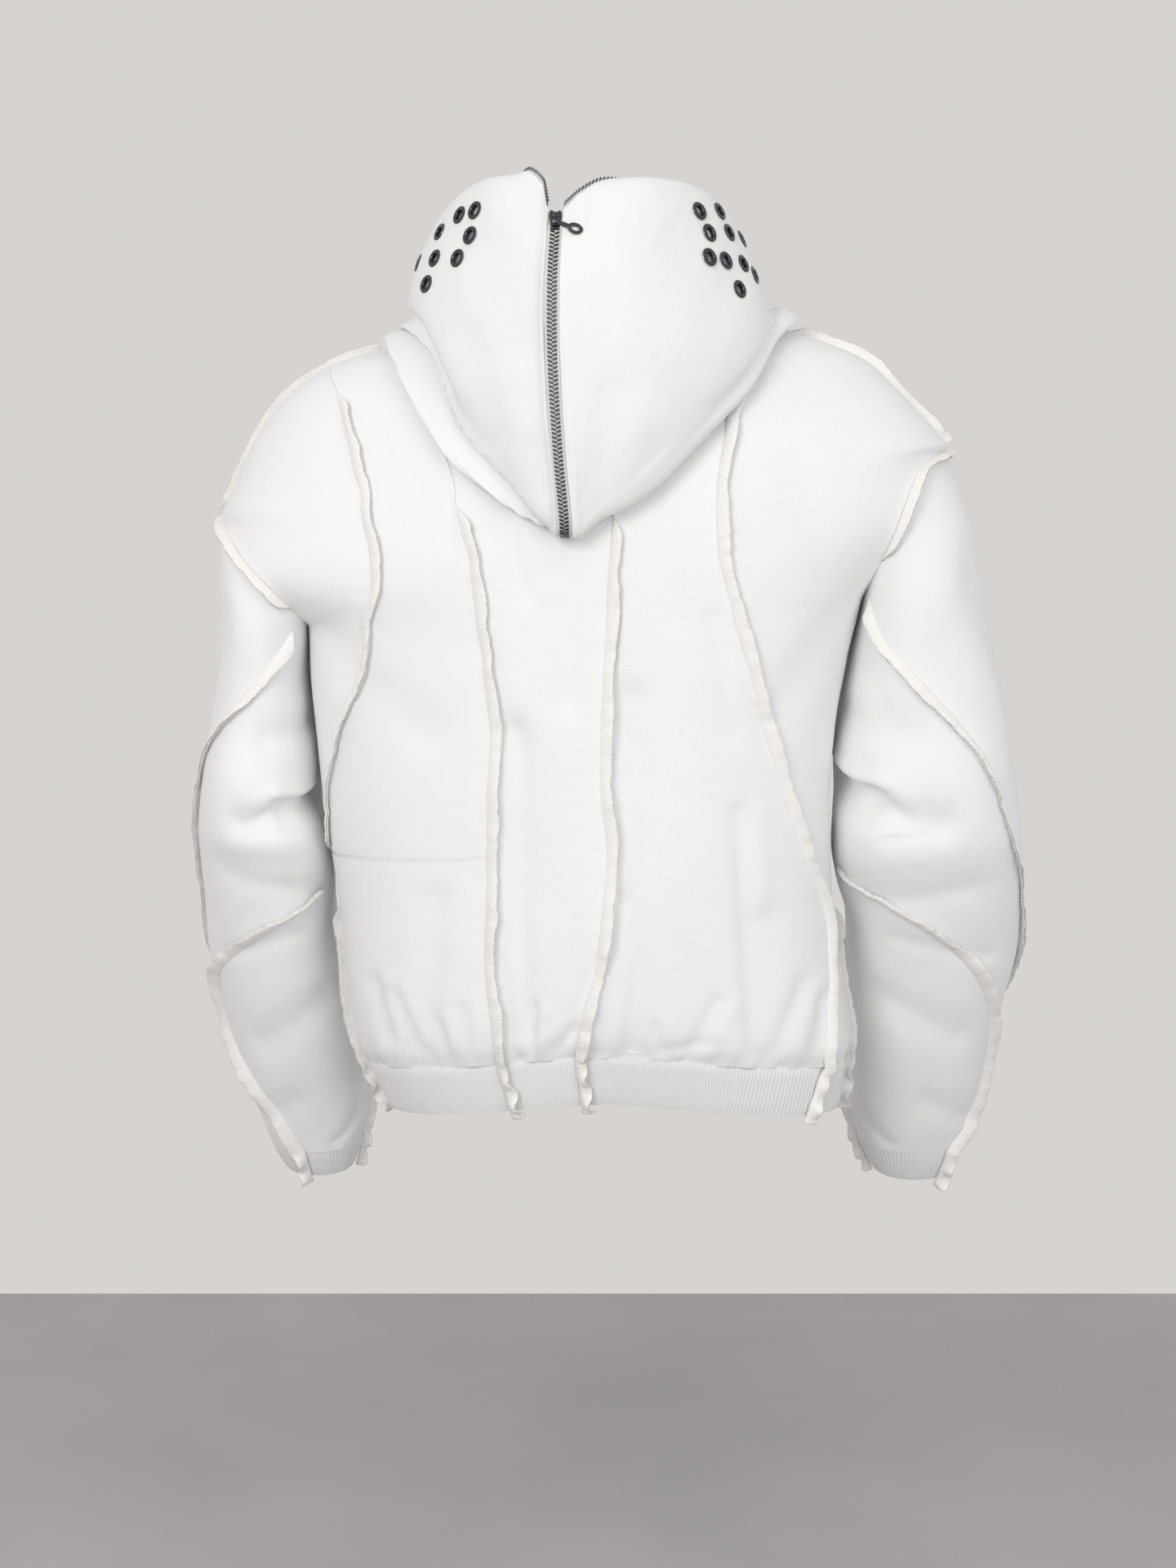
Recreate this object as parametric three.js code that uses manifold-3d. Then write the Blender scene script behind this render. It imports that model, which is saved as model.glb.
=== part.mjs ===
// Zip up hoodie, worn and hollow: sewn from panels with raised raw seams, ribbed hem and cuffs,
// a hood that lies back over the shoulders, and one long zip that carries on over the hood.
// Millimetres, +Z up, -Y the wearer's front, +Y the back, +X the wearer's left.
// The origin is on the centre line at the height of the neck, where the shoulders carry it.
import * as THREE from 'three';
import { mergeVertices } from 'three/addons/utils/BufferGeometryUtils.js';
import Module from 'manifold-3d';

const WALL = 1.8;            // body cloth
const RIB_WALL = 1.9;        // ribbed band between its ribs
const RIB_RISE = 0.9;        // height of a rib
const RIB_CLEAR = 1.6;       // a raised seam clear of the ribs it runs over
const HEM_RIBS = 52;
const CUFF_RIBS = 18;
const SEAM_GAP = 0.3;        // between two sewn pieces
const SLEEVE_GAP = 0.5;      // the same along a slanting sleeve seam
const ARM_GAP = 0.4;         // between body and sleeve
const FLANGE_WALL = 2.4;     // two raw edges sewn together
const FLANGE_HIGH = 9;
const FLANGE_LIFT = 0.6;    // flange clear of the panels it is sewn to
const ZIP_HALF = 6.1;        // half the gap that the zip fills
const TAPE_WIDE = 11.6;
const TAPE_THICK = 1.6;
const ROW_WIDE = 5.5;        // one half of the open zip
const ROW_GAP = 0.8;         // its tape clear of the hood's slanting rim
const SLIDER = {
  wide: 10.4, long: 15, back: -3.1, front: 1.5, post: 1.3, postAt: -2.5, postHigh: 3.7, head: 2.5, cap: 1,
};
const PULL = {
  eye: 3.6, hole: 1.75, thick: 1.4, lift: 1.4, long: 23, neck: 1.8, bulb: 4.4, slotLong: 3.4, slotWide: 1.7,
};
const EYELET = {
  hole: 4.1, barrel: 4.6, rim: 7.6, rise: 1.3, deep: 2.6, seat: 0.6, round: 1.8, dip: 0.5, cut: 5.0,
};
const LAST_ROW = 22;         // torso row at the neck
const ARM_LOW = 9;           // torso row at the underarm
const ARM_TOP = 15;          // torso row at the shoulder point
const SLEEVE_RINGS = 13;
const HOOD_AXIS = { x: 5, y: 10 };
const HOOD_STEPS = 20;
const HOOD_ZIP_FROM = 7;     // of those steps: the closed zips start at the folds
const FRONT_ZIP_FROM = 11;
const DEG = Math.PI / 180;

const table = (names, rows) => rows.map(row => Object.fromEntries(names.map((name, i) => [name, row[i]])));

// A named column read at any place between the rows, on one smooth curve through them.
function along(rows, name, v) {
  const last = rows.length - 1;
  const i = Math.min(Math.max(Math.floor(v), 0), last - 1);
  const f = v - i;
  const at = k => {
    if (k < 0) return 2 * rows[0][name] - rows[1][name];
    if (k > last) return 2 * rows[last][name] - rows[last - 1][name];
    return rows[k][name];
  };
  const [a, b, c, d] = [at(i - 1), at(i), at(i + 1), at(i + 2)];
  return 0.5 * (2 * b + (c - a) * f + (2 * a - 5 * b + 4 * c - d) * f * f + (3 * b - a - 3 * c + d) * f ** 3);
}

// The body, from the top of the hem rib to the neck. l and r are the left and right edges
// (side seam, then armhole, then shoulder seam), b the centre back, f the centre front.
const TORSO = table(
  ['lx', 'ly', 'lz', 'rx', 'ry', 'rz', 'by', 'bz', 'fy', 'fz', 'n'], [
    [208, 0, -627, 216, 0, -627, 122, -602, 112, -640, 2.5],
    [216, 0, -612, 219, 0, -612, 131, -585, 120, -618, 2.5],
    [221, 0, -583, 214, 0, -585, 135, -560, 124, -590, 2.5],
    [226, 0, -540, 208, 0, -540, 136, -522, 127, -545, 2.5],
    [230, 0, -490, 203, 0, -490, 136, -475, 130, -495, 2.5],
    [237, 0, -440, 200, 0, -440, 135, -428, 131, -443, 2.5],
    [244, 0, -390, 199, 0, -390, 134, -380, 131, -393, 2.5],
    [249, 0, -335, 203, 0, -335, 133, -328, 130, -338, 2.5],
    [253, 0, -290, 210, 0, -285, 133, -282, 129, -292, 2.5],
    [254, 0, -253, 222, 0, -236, 133, -245, 128, -252, 2.5],
    [256, 50, -238, 228, 54, -206, 133, -222, 127, -233, 2.5],
    [272, 76, -219, 242, 78, -172, 132, -199, 126, -216, 2.5],
    [291, 76, -200, 253, 78, -142, 131, -175, 125, -200, 2.5],
    [308, 60, -181, 266, 62, -115, 129, -152, 123, -185, 2.5],
    [321, 34, -163, 285, 36, -100, 126, -130, 121, -171, 2.4],
    [328, 0, -150, 298, 0, -92, 122, -108, 118, -158, 2.4],
    [318, 0, -128, 290, 0, -82, 115, -88, 113, -146, 2.3],
    [300, 0, -88, 276, 0, -66, 107, -70, 108, -135, 2.3],
    [272, 0, -50, 252, 0, -42, 97, -52, 102, -124, 2.3],
    [235, 0, -24, 226, 0, -18, 86, -36, 96, -113, 2.2],
    [192, 0, -10, 188, 0, -2, 76, -22, 89, -101, 2.2],
    [145, 0, 0, 142, 0, 12, 66, -10, 82, -88, 2.2],
    [96, 0, 10, 96, 0, 22, 56, 0, 74, -74, 2.2],
  ]);

// Soft folds of the body as troughs: a line from x0,z0 to x1,z1, its half width and its depth.
const TROUGH = ['x0', 'z0', 'x1', 'z1', 'wide', 'deep'];
const BACK_FOLDS = table(TROUGH, [
  [74, -330, 70, -575, 15, 6],
  [-24, -300, -27, -590, 13, 5],
  [-134, -490, -140, -600, 13, 5],
  [140, -470, 150, -600, 14, 4],
  [228, -262, 150, -330, 20, 4],
  [-196, -240, -140, -320, 20, 4],
  [40, -200, 30, -300, 16, 3],
]);
const FRONT_FOLDS = table(TROUGH, [
  [210, -262, 140, -330, 20, 5],
  [-190, -245, -130, -320, 20, 5],
  [110, -420, 120, -600, 16, 5],
  [-100, -400, -115, -600, 16, 5],
  [55, -480, 50, -610, 13, 4],
]);
const GATHER_WAVES = 8;      // across half the body, just above the hem rib
const GATHER_DEEP = 2;
const GATHER_FADE = 26;

function troughs(folds, x, z) {
  let sum = 0;
  for (const fold of folds) {
    const dx = fold.x1 - fold.x0;
    const dz = fold.z1 - fold.z0;
    const t = Math.min(Math.max(((x - fold.x0) * dx + (z - fold.z0) * dz) / (dx * dx + dz * dz), 0), 1);
    const away = Math.hypot(x - fold.x0 - t * dx, z - fold.z0 - t * dz) / fold.wide;
    sum += fold.deep * Math.exp(-away * away);
  }
  return sum;
}

// Half width and depth of a torso row's superellipse, with the edge that cuts it.
function torsoRow(left, back, v) {
  const n = along(TORSO, 'n', v);
  const depth = along(TORSO, back ? 'by' : 'fy', v);
  const edgeX = along(TORSO, left ? 'lx' : 'rx', v);
  const edgeY = Math.max(along(TORSO, left ? 'ly' : 'ry', v), 0);
  const edgeZ = along(TORSO, left ? 'lz' : 'rz', v);
  const half = edgeX / (1 - (edgeY / depth) ** n) ** (1 / n);
  return { n, depth, half, edgeX, edgeY, edgeZ, midZ: along(TORSO, back ? 'bz' : 'fz', v) };
}

// A point of the body: phi is 0 at the left side, 90 at the back, 180 at the right, 270 in front.
function torso(phi, v) {
  const c = Math.cos(phi * DEG);
  const s = Math.sin(phi * DEG);
  const back = s >= 0;
  const row = torsoRow(c >= 0, back, v);
  let r = ((Math.abs(c) / row.half) ** row.n + (Math.abs(s) / row.depth) ** row.n) ** (-1 / row.n);
  const edge = Math.sin(Math.atan2(row.edgeY, row.edgeX));
  const w = Math.min(Math.max((Math.abs(s) - edge) / (1 - edge), 0), 1) ** 1.5;
  const z = row.edgeZ + (row.midZ - row.edgeZ) * w;
  const inside = Math.min(w * 6, 1);
  const hemZ = TORSO[0].lz + ((back ? TORSO[0].bz : TORSO[0].fz) - TORSO[0].lz) * w;
  r -= inside * troughs(back ? BACK_FOLDS : FRONT_FOLDS, r * c, z);
  const gather = Math.sin(2 * GATHER_WAVES * phi * DEG + 2 * s);
  r += inside * GATHER_DEEP * gather * Math.exp((hemZ - z) / GATHER_FADE);
  return new THREE.Vector3(r * c, r * s, z);
}

// The angle at which a torso row passes through a given x on the back.
function phiAt(x, v) {
  const row = torsoRow(x >= 0, true, v);
  const y = row.depth * Math.max(1 - (Math.abs(x) / row.half) ** row.n, 0) ** (1 / row.n);
  return Math.atan2(y, x) / DEG;
}

const edgeAngle = (left, v) => {
  const row = torsoRow(left, true, v);
  const e = Math.atan2(row.edgeY, row.edgeX) / DEG;
  return left ? e : 180 - e;
};

// Outward direction of a surface given as point(a, b), on the side away from inside.
function normalOf(point, a, b, stepA, stepB, inside) {
  const da = point(a + stepA, b).sub(point(a - stepA, b));
  const db = point(a, b + stepB).sub(point(a, b - stepB));
  const n = da.cross(db).normalize();
  if (inside && n.dot(point(a, b).sub(inside)) < 0) n.negate();
  return n;
}

function torsoNormal(phi, v) {
  const vv = Math.min(Math.max(v, 0.05), LAST_ROW - 0.05);
  const p = torso(phi, vv);
  return normalOf(torso, phi, vv, 0.5, 0.05, new THREE.Vector3(0, 0, Math.min(p.z, -150)));
}

// The hem rib below the body: h runs from 0 at its top to 1 at its bottom.
const HEM_BOTTOM = { left: 187, right: 211, sideZ: -670, by: 113, bz: -645, fy: 104, fz: -684 };
function hemPoint(phi, h) {
  const c = Math.cos(phi * DEG);
  const s = Math.sin(phi * DEG);
  const top = torsoRow(c >= 0, s >= 0, 0);
  const n = top.n;
  const half = top.half + (HEM_BOTTOM[c >= 0 ? 'left' : 'right'] - top.half) * h;
  const depth = top.depth + (HEM_BOTTOM[s >= 0 ? 'by' : 'fy'] - top.depth) * h;
  const r = ((Math.abs(c) / half) ** n + (Math.abs(s) / depth) ** n) ** (-1 / n);
  const w = Math.abs(s) ** 1.5;
  const zTop = top.edgeZ + (top.midZ - top.edgeZ) * w;
  const zLow = HEM_BOTTOM.sideZ + (HEM_BOTTOM[s >= 0 ? 'bz' : 'fz'] - HEM_BOTTOM.sideZ) * w;
  return new THREE.Vector3(r * c, r * s, zTop + (zLow - zTop) * h);
}

// Seams of the back, as the x at which each crosses a torso row. s1 starts on the side seam and
// ends on the shoulder seam; s4 ends on the right shoulder seam beside the hood.
const SEAMS = table(['s1', 's2', 's3', 's4'], [
  [0, 88, 22, -188], [0, 91, 20, -190], [0, 93, 15, -192], [0, 97, 5, -194], [0, 96, 0, -189],
  [235.5, 95, -4, -169], [235, 94, 1, -152], [226, 92, 1, -136], [207, 97, -1, -121],
  [196, 101, -3, -109], [194, 103, -4, -103], [190, 106, -5, -96], [191, 108, -7, -94],
  [193, 114, -8, -93], [197, 119, -8, -94], [201, 123, -8, -97], [205, 128, -9, -99],
  [212, 133, -8, -101], [220, 136, -9, -114], [228, 130, -9, -128], [190.5, 114, -9, -137],
  [0, 92, -10, -140.5], [0, 66, -10, -80],
]);
const S1_ROWS = [5, 20];
const S4_ROWS = [0, 21];

const seamAngle = (name, v) => phiAt(SEAMS[v][name], v);
const leftOfBack = v => edgeAngle(true, v);
const rightOfBack = v => edgeAngle(false, v);
const s1OrEdge = v => (v >= S1_ROWS[0] && v <= S1_ROWS[1] ? seamAngle('s1', v) : leftOfBack(v));
const s4OrEdge = v => (v <= S4_ROWS[1] ? seamAngle('s4', v) : rightOfBack(v));

// Sleeve rings below the armhole: the outer and inner points, the back and front reach, and how
// far a ring dips towards the back. The forearm goes forward from the elbow fold.
const RING = ['ox', 'oz', 'ix', 'iz', 'back', 'front', 'dip'];
const LEFT_RINGS = table(RING, [
  [328, -150, 254, -253, 76, -76, 0],
  [331, -202, 256, -290, 78, -96, 0],
  [335, -262, 253, -330, 77, -100, 0],
  [341, -318, 250, -365, 78, -100, 0],
  [349, -368, 246, -405, 85, -96, 0],
  [354, -414, 241, -440, 80, -98, 0.02],
  [355, -455, 239, -468, 58, -108, 0.05],
  [355, -492, 240, -498, 42, -118, 0.08],
  [355, -524, 240, -527, 28, -128, 0.1],
  [353, -556, 235, -558, 14, -137, 0.12],
  [348, -600, 228, -601, -5, -147, 0.14],
  [338, -650, 221, -650, -26, -157, 0.15],
  [322, -700, 218, -700, -50, -160, 0.15],
  [311, -729, 225, -729, -62, -150, 0.15],
]);
const RIGHT_RINGS = table(RING, [
  [298, -92, 222, -236, 78, -78, 0],
  [318, -160, 217, -272, 85, -92, 0],
  [335, -230, 209, -320, 85, -94, 0],
  [350, -298, 204, -368, 87, -92, 0],
  [361, -362, 203, -410, 91, -88, 0],
  [369, -418, 204, -445, 85, -94, 0.02],
  [374, -460, 211, -476, 63, -104, 0.05],
  [376, -495, 220, -503, 46, -114, 0.08],
  [376, -526, 223, -530, 31, -124, 0.1],
  [374, -556, 225, -560, 17, -133, 0.12],
  [367, -600, 228, -603, -2, -144, 0.14],
  [360, -650, 230, -651, -24, -156, 0.15],
  [353, -700, 234, -701, -48, -158, 0.15],
  [347, -729, 242, -730, -62, -150, 0.15],
]);
const LEFT_CUFF = { ox: 298, oz: -757, ix: 233, iz: -757, back: -78, front: -150, dip: 0.15 };
const RIGHT_CUFF = { ox: 331, oz: -762, ix: 258, iz: -762, back: -80, front: -152, dip: 0.15 };

// Where the lengthwise sleeve seams lie on each ring, in 24ths of a turn: 0 outside, 6 at the
// back, 12 under the arm, and below 0 in front. b starts under the arm at the elbow.
const LEFT_SEAMS = table(['a', 'b'], [
  [10, 12], [8, 12], [5.9, 12], [3.5, 12], [1.6, 12], [0.8, 12], [0.3, 11.4], [0, 7.4], [-0.4, 4.5],
  [-1.2, 2.5], [-2.4, 2.2], [-3.6, 3.4], [-4.6, 4.7], [-5.2, 5.5],
]);
const RIGHT_SEAMS = table(['a', 'b'], [
  [10.5, 12], [8.6, 12], [6.7, 12], [4.9, 12], [3.5, 12], [2.7, 11.6], [2, 9.3], [1.4, 7], [0.9, 5.3],
  [0, 4.1], [-1.4, 2.9], [-2.8, 2.4], [-4, 2.8], [-4.8, 4],
]);
const B_START = { left: 6, right: 5 };

const RINGS = { left: LEFT_RINGS, right: RIGHT_RINGS };
const SLEEVE_SEAMS = { left: LEFT_SEAMS, right: RIGHT_SEAMS };
const CUFFS = { left: LEFT_CUFF, right: RIGHT_CUFF };

// Folds across a sleeve as troughs: from turn q0 on ring w0 to q1 on w1.
const SLEEVE_TROUGH = ['q0', 'w0', 'q1', 'w1', 'wide', 'deep'];
const SLEEVE_FOLDS = {
  left: table(SLEEVE_TROUGH, [
    [11, 2.0, 7, 2.8, 14, 5], [11.5, 3.7, 5.5, 4.6, 14, 8], [3, 1.4, 1, 2.6, 16, 4],
    [-10, 4.2, -4, 5.2, 15, 7], [-9, 5.6, -3, 6.4, 15, 6], [9, 9.4, 5, 10.2, 16, 4],
  ]),
  right: table(SLEEVE_TROUGH, [
    [11, 2.0, 7, 2.9, 14, 5], [11.5, 3.4, 6, 4.5, 14, 8], [3, 1.4, 1, 2.8, 16, 4],
    [-10, 4.2, -4, 5.2, 15, 7], [-9, 5.6, -3, 6.4, 15, 6], [9, 9.2, 5, 10, 16, 4],
  ]),
};
const TURN_MM = 18;          // one 24th of a turn round a sleeve
const RING_MM = 44;          // from ring to ring

// The turn at which a sleeve seam crosses any place between the rings.
function turnAt(side, name, w) {
  const seams = SLEEVE_SEAMS[side];
  const i = Math.min(Math.floor(w), SLEEVE_RINGS - 1);
  return seams[i][name] + (seams[i + 1][name] - seams[i][name]) * (w - i);
}

function armholePoint(side, k) {
  const left = side === 'left';
  const turn = ((k % 12) + 12) % 12;
  const row = turn <= 6 ? ARM_TOP - turn : ARM_LOW + turn - 6;
  const t = TORSO[row];
  const x = left ? t.lx : -t.rx;
  const y = (left ? t.ly : t.ry) * (turn <= 6 ? 1 : -1);
  return new THREE.Vector3(x, y, left ? t.lz : t.rz);
}

function armholeAt(side, q) {
  const k = Math.floor(q / 2);
  return armholePoint(side, k).lerp(armholePoint(side, k + 1), q / 2 - k);
}

function ovalPoint(side, ring, q) {
  const a = q * 15 * DEG;
  const c = Math.cos(a);
  const s = Math.sin(a);
  const power = 2.2;
  const r = (Math.abs(c) ** power + Math.abs(s) ** power) ** (-1 / power);
  const x = (ring.ox + ring.ix) / 2 + (ring.ox - ring.ix) / 2 * c * r;
  const reach = (ring.back - ring.front) / 2;
  const y = (ring.back + ring.front) / 2 + reach * s * r;
  const z = (ring.oz + ring.iz) / 2 + (ring.oz - ring.iz) / 2 * c * r - ring.dip * reach * s * r;
  return new THREE.Vector3(side === 'left' ? x : -x, y, z);
}

function ringPoint(side, q, j) {
  if (j < 0) return armholeAt(side, q).multiplyScalar(2).sub(ringPoint(side, q, 1));
  if (j === 0) return armholeAt(side, q);
  if (j > SLEEVE_RINGS) {
    const last = ringPoint(side, q, SLEEVE_RINGS);
    return last.multiplyScalar(2).sub(ringPoint(side, q, SLEEVE_RINGS - 1));
  }
  const ring = RINGS[side][j];
  const p = ovalPoint(side, ring, q);
  let depth = 0;
  for (const fold of SLEEVE_FOLDS[side]) {
    const dq = (fold.q1 - fold.q0) * TURN_MM;
    const dw = (fold.w1 - fold.w0) * RING_MM;
    const pw = (j - fold.w0) * RING_MM;
    for (const turn of [q - 24, q, q + 24]) {
      const pq = (turn - fold.q0) * TURN_MM;
      const t = Math.min(Math.max((pq * dq + pw * dw) / (dq * dq + dw * dw), 0), 1);
      const away = Math.hypot(pq - t * dq, pw - t * dw) / fold.wide;
      depth += fold.deep * Math.exp(-away * away);
    }
  }
  const middle = new THREE.Vector3(
    (side === 'left' ? 0.5 : -0.5) * (ring.ox + ring.ix),
    (ring.back + ring.front) / 2,
    (ring.oz + ring.iz) / 2,
  );
  return p.add(middle.sub(p).normalize().multiplyScalar(depth));
}

// A point of a sleeve: q round it in 24ths of a turn, w along it in rings from the armhole.
function sleeve(side, q, w) {
  const i = Math.min(Math.max(Math.floor(w), 0), SLEEVE_RINGS - 1);
  const f = w - i;
  const [a, b, c, d] = [-1, 0, 1, 2].map(k => ringPoint(side, q, i + k));
  const out = new THREE.Vector3();
  for (const axis of ['x', 'y', 'z']) {
    out[axis] = 0.5 * (2 * b[axis] + (c[axis] - a[axis]) * f
      + (2 * a[axis] - 5 * b[axis] + 4 * c[axis] - d[axis]) * f * f
      + (3 * b[axis] - a[axis] - 3 * c[axis] + d[axis]) * f ** 3);
  }
  return out;
}

function sleeveNormal(side, q, w) {
  const ww = Math.min(Math.max(w, 0.12), SLEEVE_RINGS - 0.05);
  const ring = k => RINGS[side][k];
  const k = Math.min(Math.floor(ww), SLEEVE_RINGS - 1);
  const mix = name => ring(k)[name] + (ring(k + 1)[name] - ring(k)[name]) * (ww - k);
  const middle = new THREE.Vector3((side === 'left' ? 0.5 : -0.5) * (mix('ox') + mix('ix')),
    (mix('back') + mix('front')) / 2, (mix('oz') + mix('iz')) / 2);
  return normalOf((a, b) => sleeve(side, a, b), q, ww, 0.3, 0.06, middle);
}

// At an armhole the body and the sleeve share one mitred direction and part along its cross.
function armholeFrame(side, q) {
  const k = q / 2;
  const low = Math.floor(k + 1e-6);
  const at = turn => {
    const m = ((turn % 12) + 12) % 12;
    const row = m <= 6 ? ARM_TOP - m : ARM_LOW + m - 6;
    const sideAngle = edgeAngle(side === 'left', row);
    const phi = m <= 6 ? sideAngle : -sideAngle;
    const inner = side === 'left' ? 1.5 : -1.5;
    const n = torsoNormal(m === 0 || m === 6 ? sideAngle : phi + (m < 6 ? inner : -inner), row);
    return n.add(sleeveNormal(side, 2 * m, 0.12)).normalize();
  };
  const mitre = at(low).lerp(at(low + 1), k - low).normalize();
  const tangent = armholeAt(side, q + 0.5).sub(armholeAt(side, q - 0.5)).normalize();
  const across = tangent.clone().cross(mitre).normalize();
  if (across.x * (side === 'left' ? 1 : -1) < 0) across.negate();
  return { mitre, across, tangent };
}

// The hood, as columns round its axis. Azimuth 0 is the back, 90 the left. fold is the torso row
// over which the outer layer folds under; off is how far the fold stands off the body; flap is
// how many rows further down the under layer peeps out; belly, top and rim are radius and height.
const HOOD = ['az', 'fold', 'off', 'flap', 'bellyR', 'bellyZ', 'topR', 'topZ', 'rimR', 'rimZ'];
const HOOD_LEFT = table(HOOD, [
  [12, 12.3, 27, 0, 168, -30, 158, 71, 155, 85],
  [17, 12.6, 27, 0, 168, -28, 152, 92, 145, 106],
  [24, 13.2, 27, 0.3, 168, -22, 145, 108, 136, 118],
  [34, 14.6, 26, 0.9, 168, -12, 138, 116, 122, 116],
  [48, 16.5, 25, 1.1, 168, 2, 132, 115, 112, 112],
  [62, 18.6, 24, 1.1, 168, 20, 130, 108, 110, 104],
  [76, 19.9, 22, 0.6, 161, 33, 129, 98, 108, 93],
  [86, 20.35, 17, 0.2, 155, 36, 126, 92, 107, 87],
  [95, 20.6, 15, 0, 149, 36, 122, 82, 104, 78],
  [113, 20.8, 14, 0, 137, 25, 113, 58, 98, 54],
  [135, 21, 12, 0, 119, 0, 104, 19, 97, 26],
  [157, 21.2, 10, 0, 101, -36, 94, -18, 90, -7],
  [179, 21.4, 9, 0, 94, -62, 92, -44, 90, -26],
]);
const HOOD_RIGHT = table(HOOD, [
  [12, 12.3, 27, 0, 168, -30, 158, 71, 155, 85],
  [6, 12.3, 27, 0, 168, -28, 153, 83, 147, 96],
  [-2, 12.8, 27, 0, 168, -24, 150, 100, 141, 108],
  [-14, 13.3, 26, 0, 168, -18, 144, 110, 132, 111],
  [-27, 14.2, 25, 0, 167, -10, 136, 112, 120, 108],
  [-41, 15.7, 24, 0, 165, -2, 128, 110, 110, 104],
  [-56, 17.6, 22, 0, 162, 8, 120, 104, 103, 98],
  [-72, 19.6, 18, 0, 152, 16, 114, 94, 98, 88],
  [-84, 20.35, 15, 0, 143, 22, 112, 84, 98, 80],
  [-94, 20.6, 13, 0, 140, 22, 111, 72, 98, 69],
  [-110, 20.8, 12, 0, 134, 17, 109, 54, 96, 50],
  [-130, 21, 12, 0, 119, 0, 104, 19, 97, 26],
  [-152, 21.2, 10, 0, 103, -35, 95, -17, 91, -6],
  [-172.5, 21.4, 9, 0, 94, -62, 92, -44, 90, -26],
]);
const HOOD_TABLES = { left: HOOD_LEFT, right: HOOD_RIGHT };

// The body's surface in a given direction from the hood's axis, on a given row.
function bodyUnder(az, v) {
  let phi = 90 - az;
  for (let i = 0; i < 4; i += 1) {
    const p = torso(phi, v);
    const found = Math.atan2(p.x - HOOD_AXIS.x, p.y - HOOD_AXIS.y) / DEG;
    let miss = found - az;
    if (miss > 180) miss -= 360;
    if (miss < -180) miss += 360;
    phi += miss;
  }
  return { point: torso(phi, v), normal: torsoNormal(phi, v) };
}

// Controls of one hood column, from the neck seam under the hood to the zip edge on the rim.
function hoodControls(side, u) {
  const rows = HOOD_TABLES[side];
  const read = name => along(rows, name, u);
  const az = read('az');
  const fold = read('fold');
  const off = read('off');
  const flap = Math.max(read('flap'), 0);
  const lift = (v, height) => {
    const { point, normal } = bodyUnder(az, v);
    return point.addScaledVector(normal, height);
  };
  const polar = (r, z) => new THREE.Vector3(
    HOOD_AXIS.x + r * Math.sin(az * DEG), HOOD_AXIS.y + r * Math.cos(az * DEG), z);
  const neck = LAST_ROW;
  const low = fold - flap;
  const seam = lift(neck, 1);
  seam.z += 1;
  const [bellyR, bellyZ, topR, topZ] = ['bellyR', 'bellyZ', 'topR', 'topZ'].map(read);
  const belly = polar(bellyR, bellyZ);
  const outer = lift(fold + 0.35, off + 3);
  return [
    seam,
    lift(neck + (low - neck) * 0.25, 8),
    lift(neck + (low - neck) * 0.7, 10),
    lift(low + 0.15, 10),
    lift(low + 0.1 * flap, 11 + 3.5 * Math.min(flap, 1)),
    lift(fold + 0.35 * Math.min(flap, 1), 10 + 0.3 * (off - 10)),
    lift(fold, 10 + 0.7 * (off - 10)),
    outer,
    outer.clone().lerp(belly, 0.45).addScaledVector(polar(1, 0).sub(polar(0, 0)), 5),
    belly,
    polar(0.4 * bellyR + 0.6 * topR + Math.min(0.1 * (topZ - bellyZ), 6), 0.4 * bellyZ + 0.6 * topZ),
    polar(topR, topZ),
    polar(read('rimR'), read('rimZ')),
  ];
}

const hoodCurves = new Map();
function hood(side, u, s) {
  const key = `${side} ${u.toFixed(4)}`;
  if (!hoodCurves.has(key)) {
    hoodCurves.set(key, new THREE.CatmullRomCurve3(hoodControls(side, u), false, 'centripetal'));
  }
  return hoodCurves.get(key).getPointAt(Math.min(Math.max(s, 0), 1));
}

function hoodNormal(side, u, s) {
  const ss = Math.min(Math.max(s, 0.004), 0.996);
  const n = normalOf((a, b) => hood(side, a, b), u, ss, 0.04, 0.003, null);
  return side === 'left' ? n.negate() : n;
}

// The hood's own points: its first and last columns stand back from the zips.
function hoodPoint(side, i, s) {
  const p = hood(side, i, s);
  const shift = side === 'left' ? ZIP_HALF : -ZIP_HALF;
  if (i === 0) p.x += shift;
  if (i === HOOD_TABLES[side].length - 1) p.x = shift;
  return p;
}

// Along the zips the cloth's cut edge faces straight across.
function hoodEdgeNormal(side, i, s) {
  const n = hoodNormal(side, i, s);
  if (i === 0 || i === HOOD_TABLES[side].length - 1) n.setX(0).normalize();
  return n;
}

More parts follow.
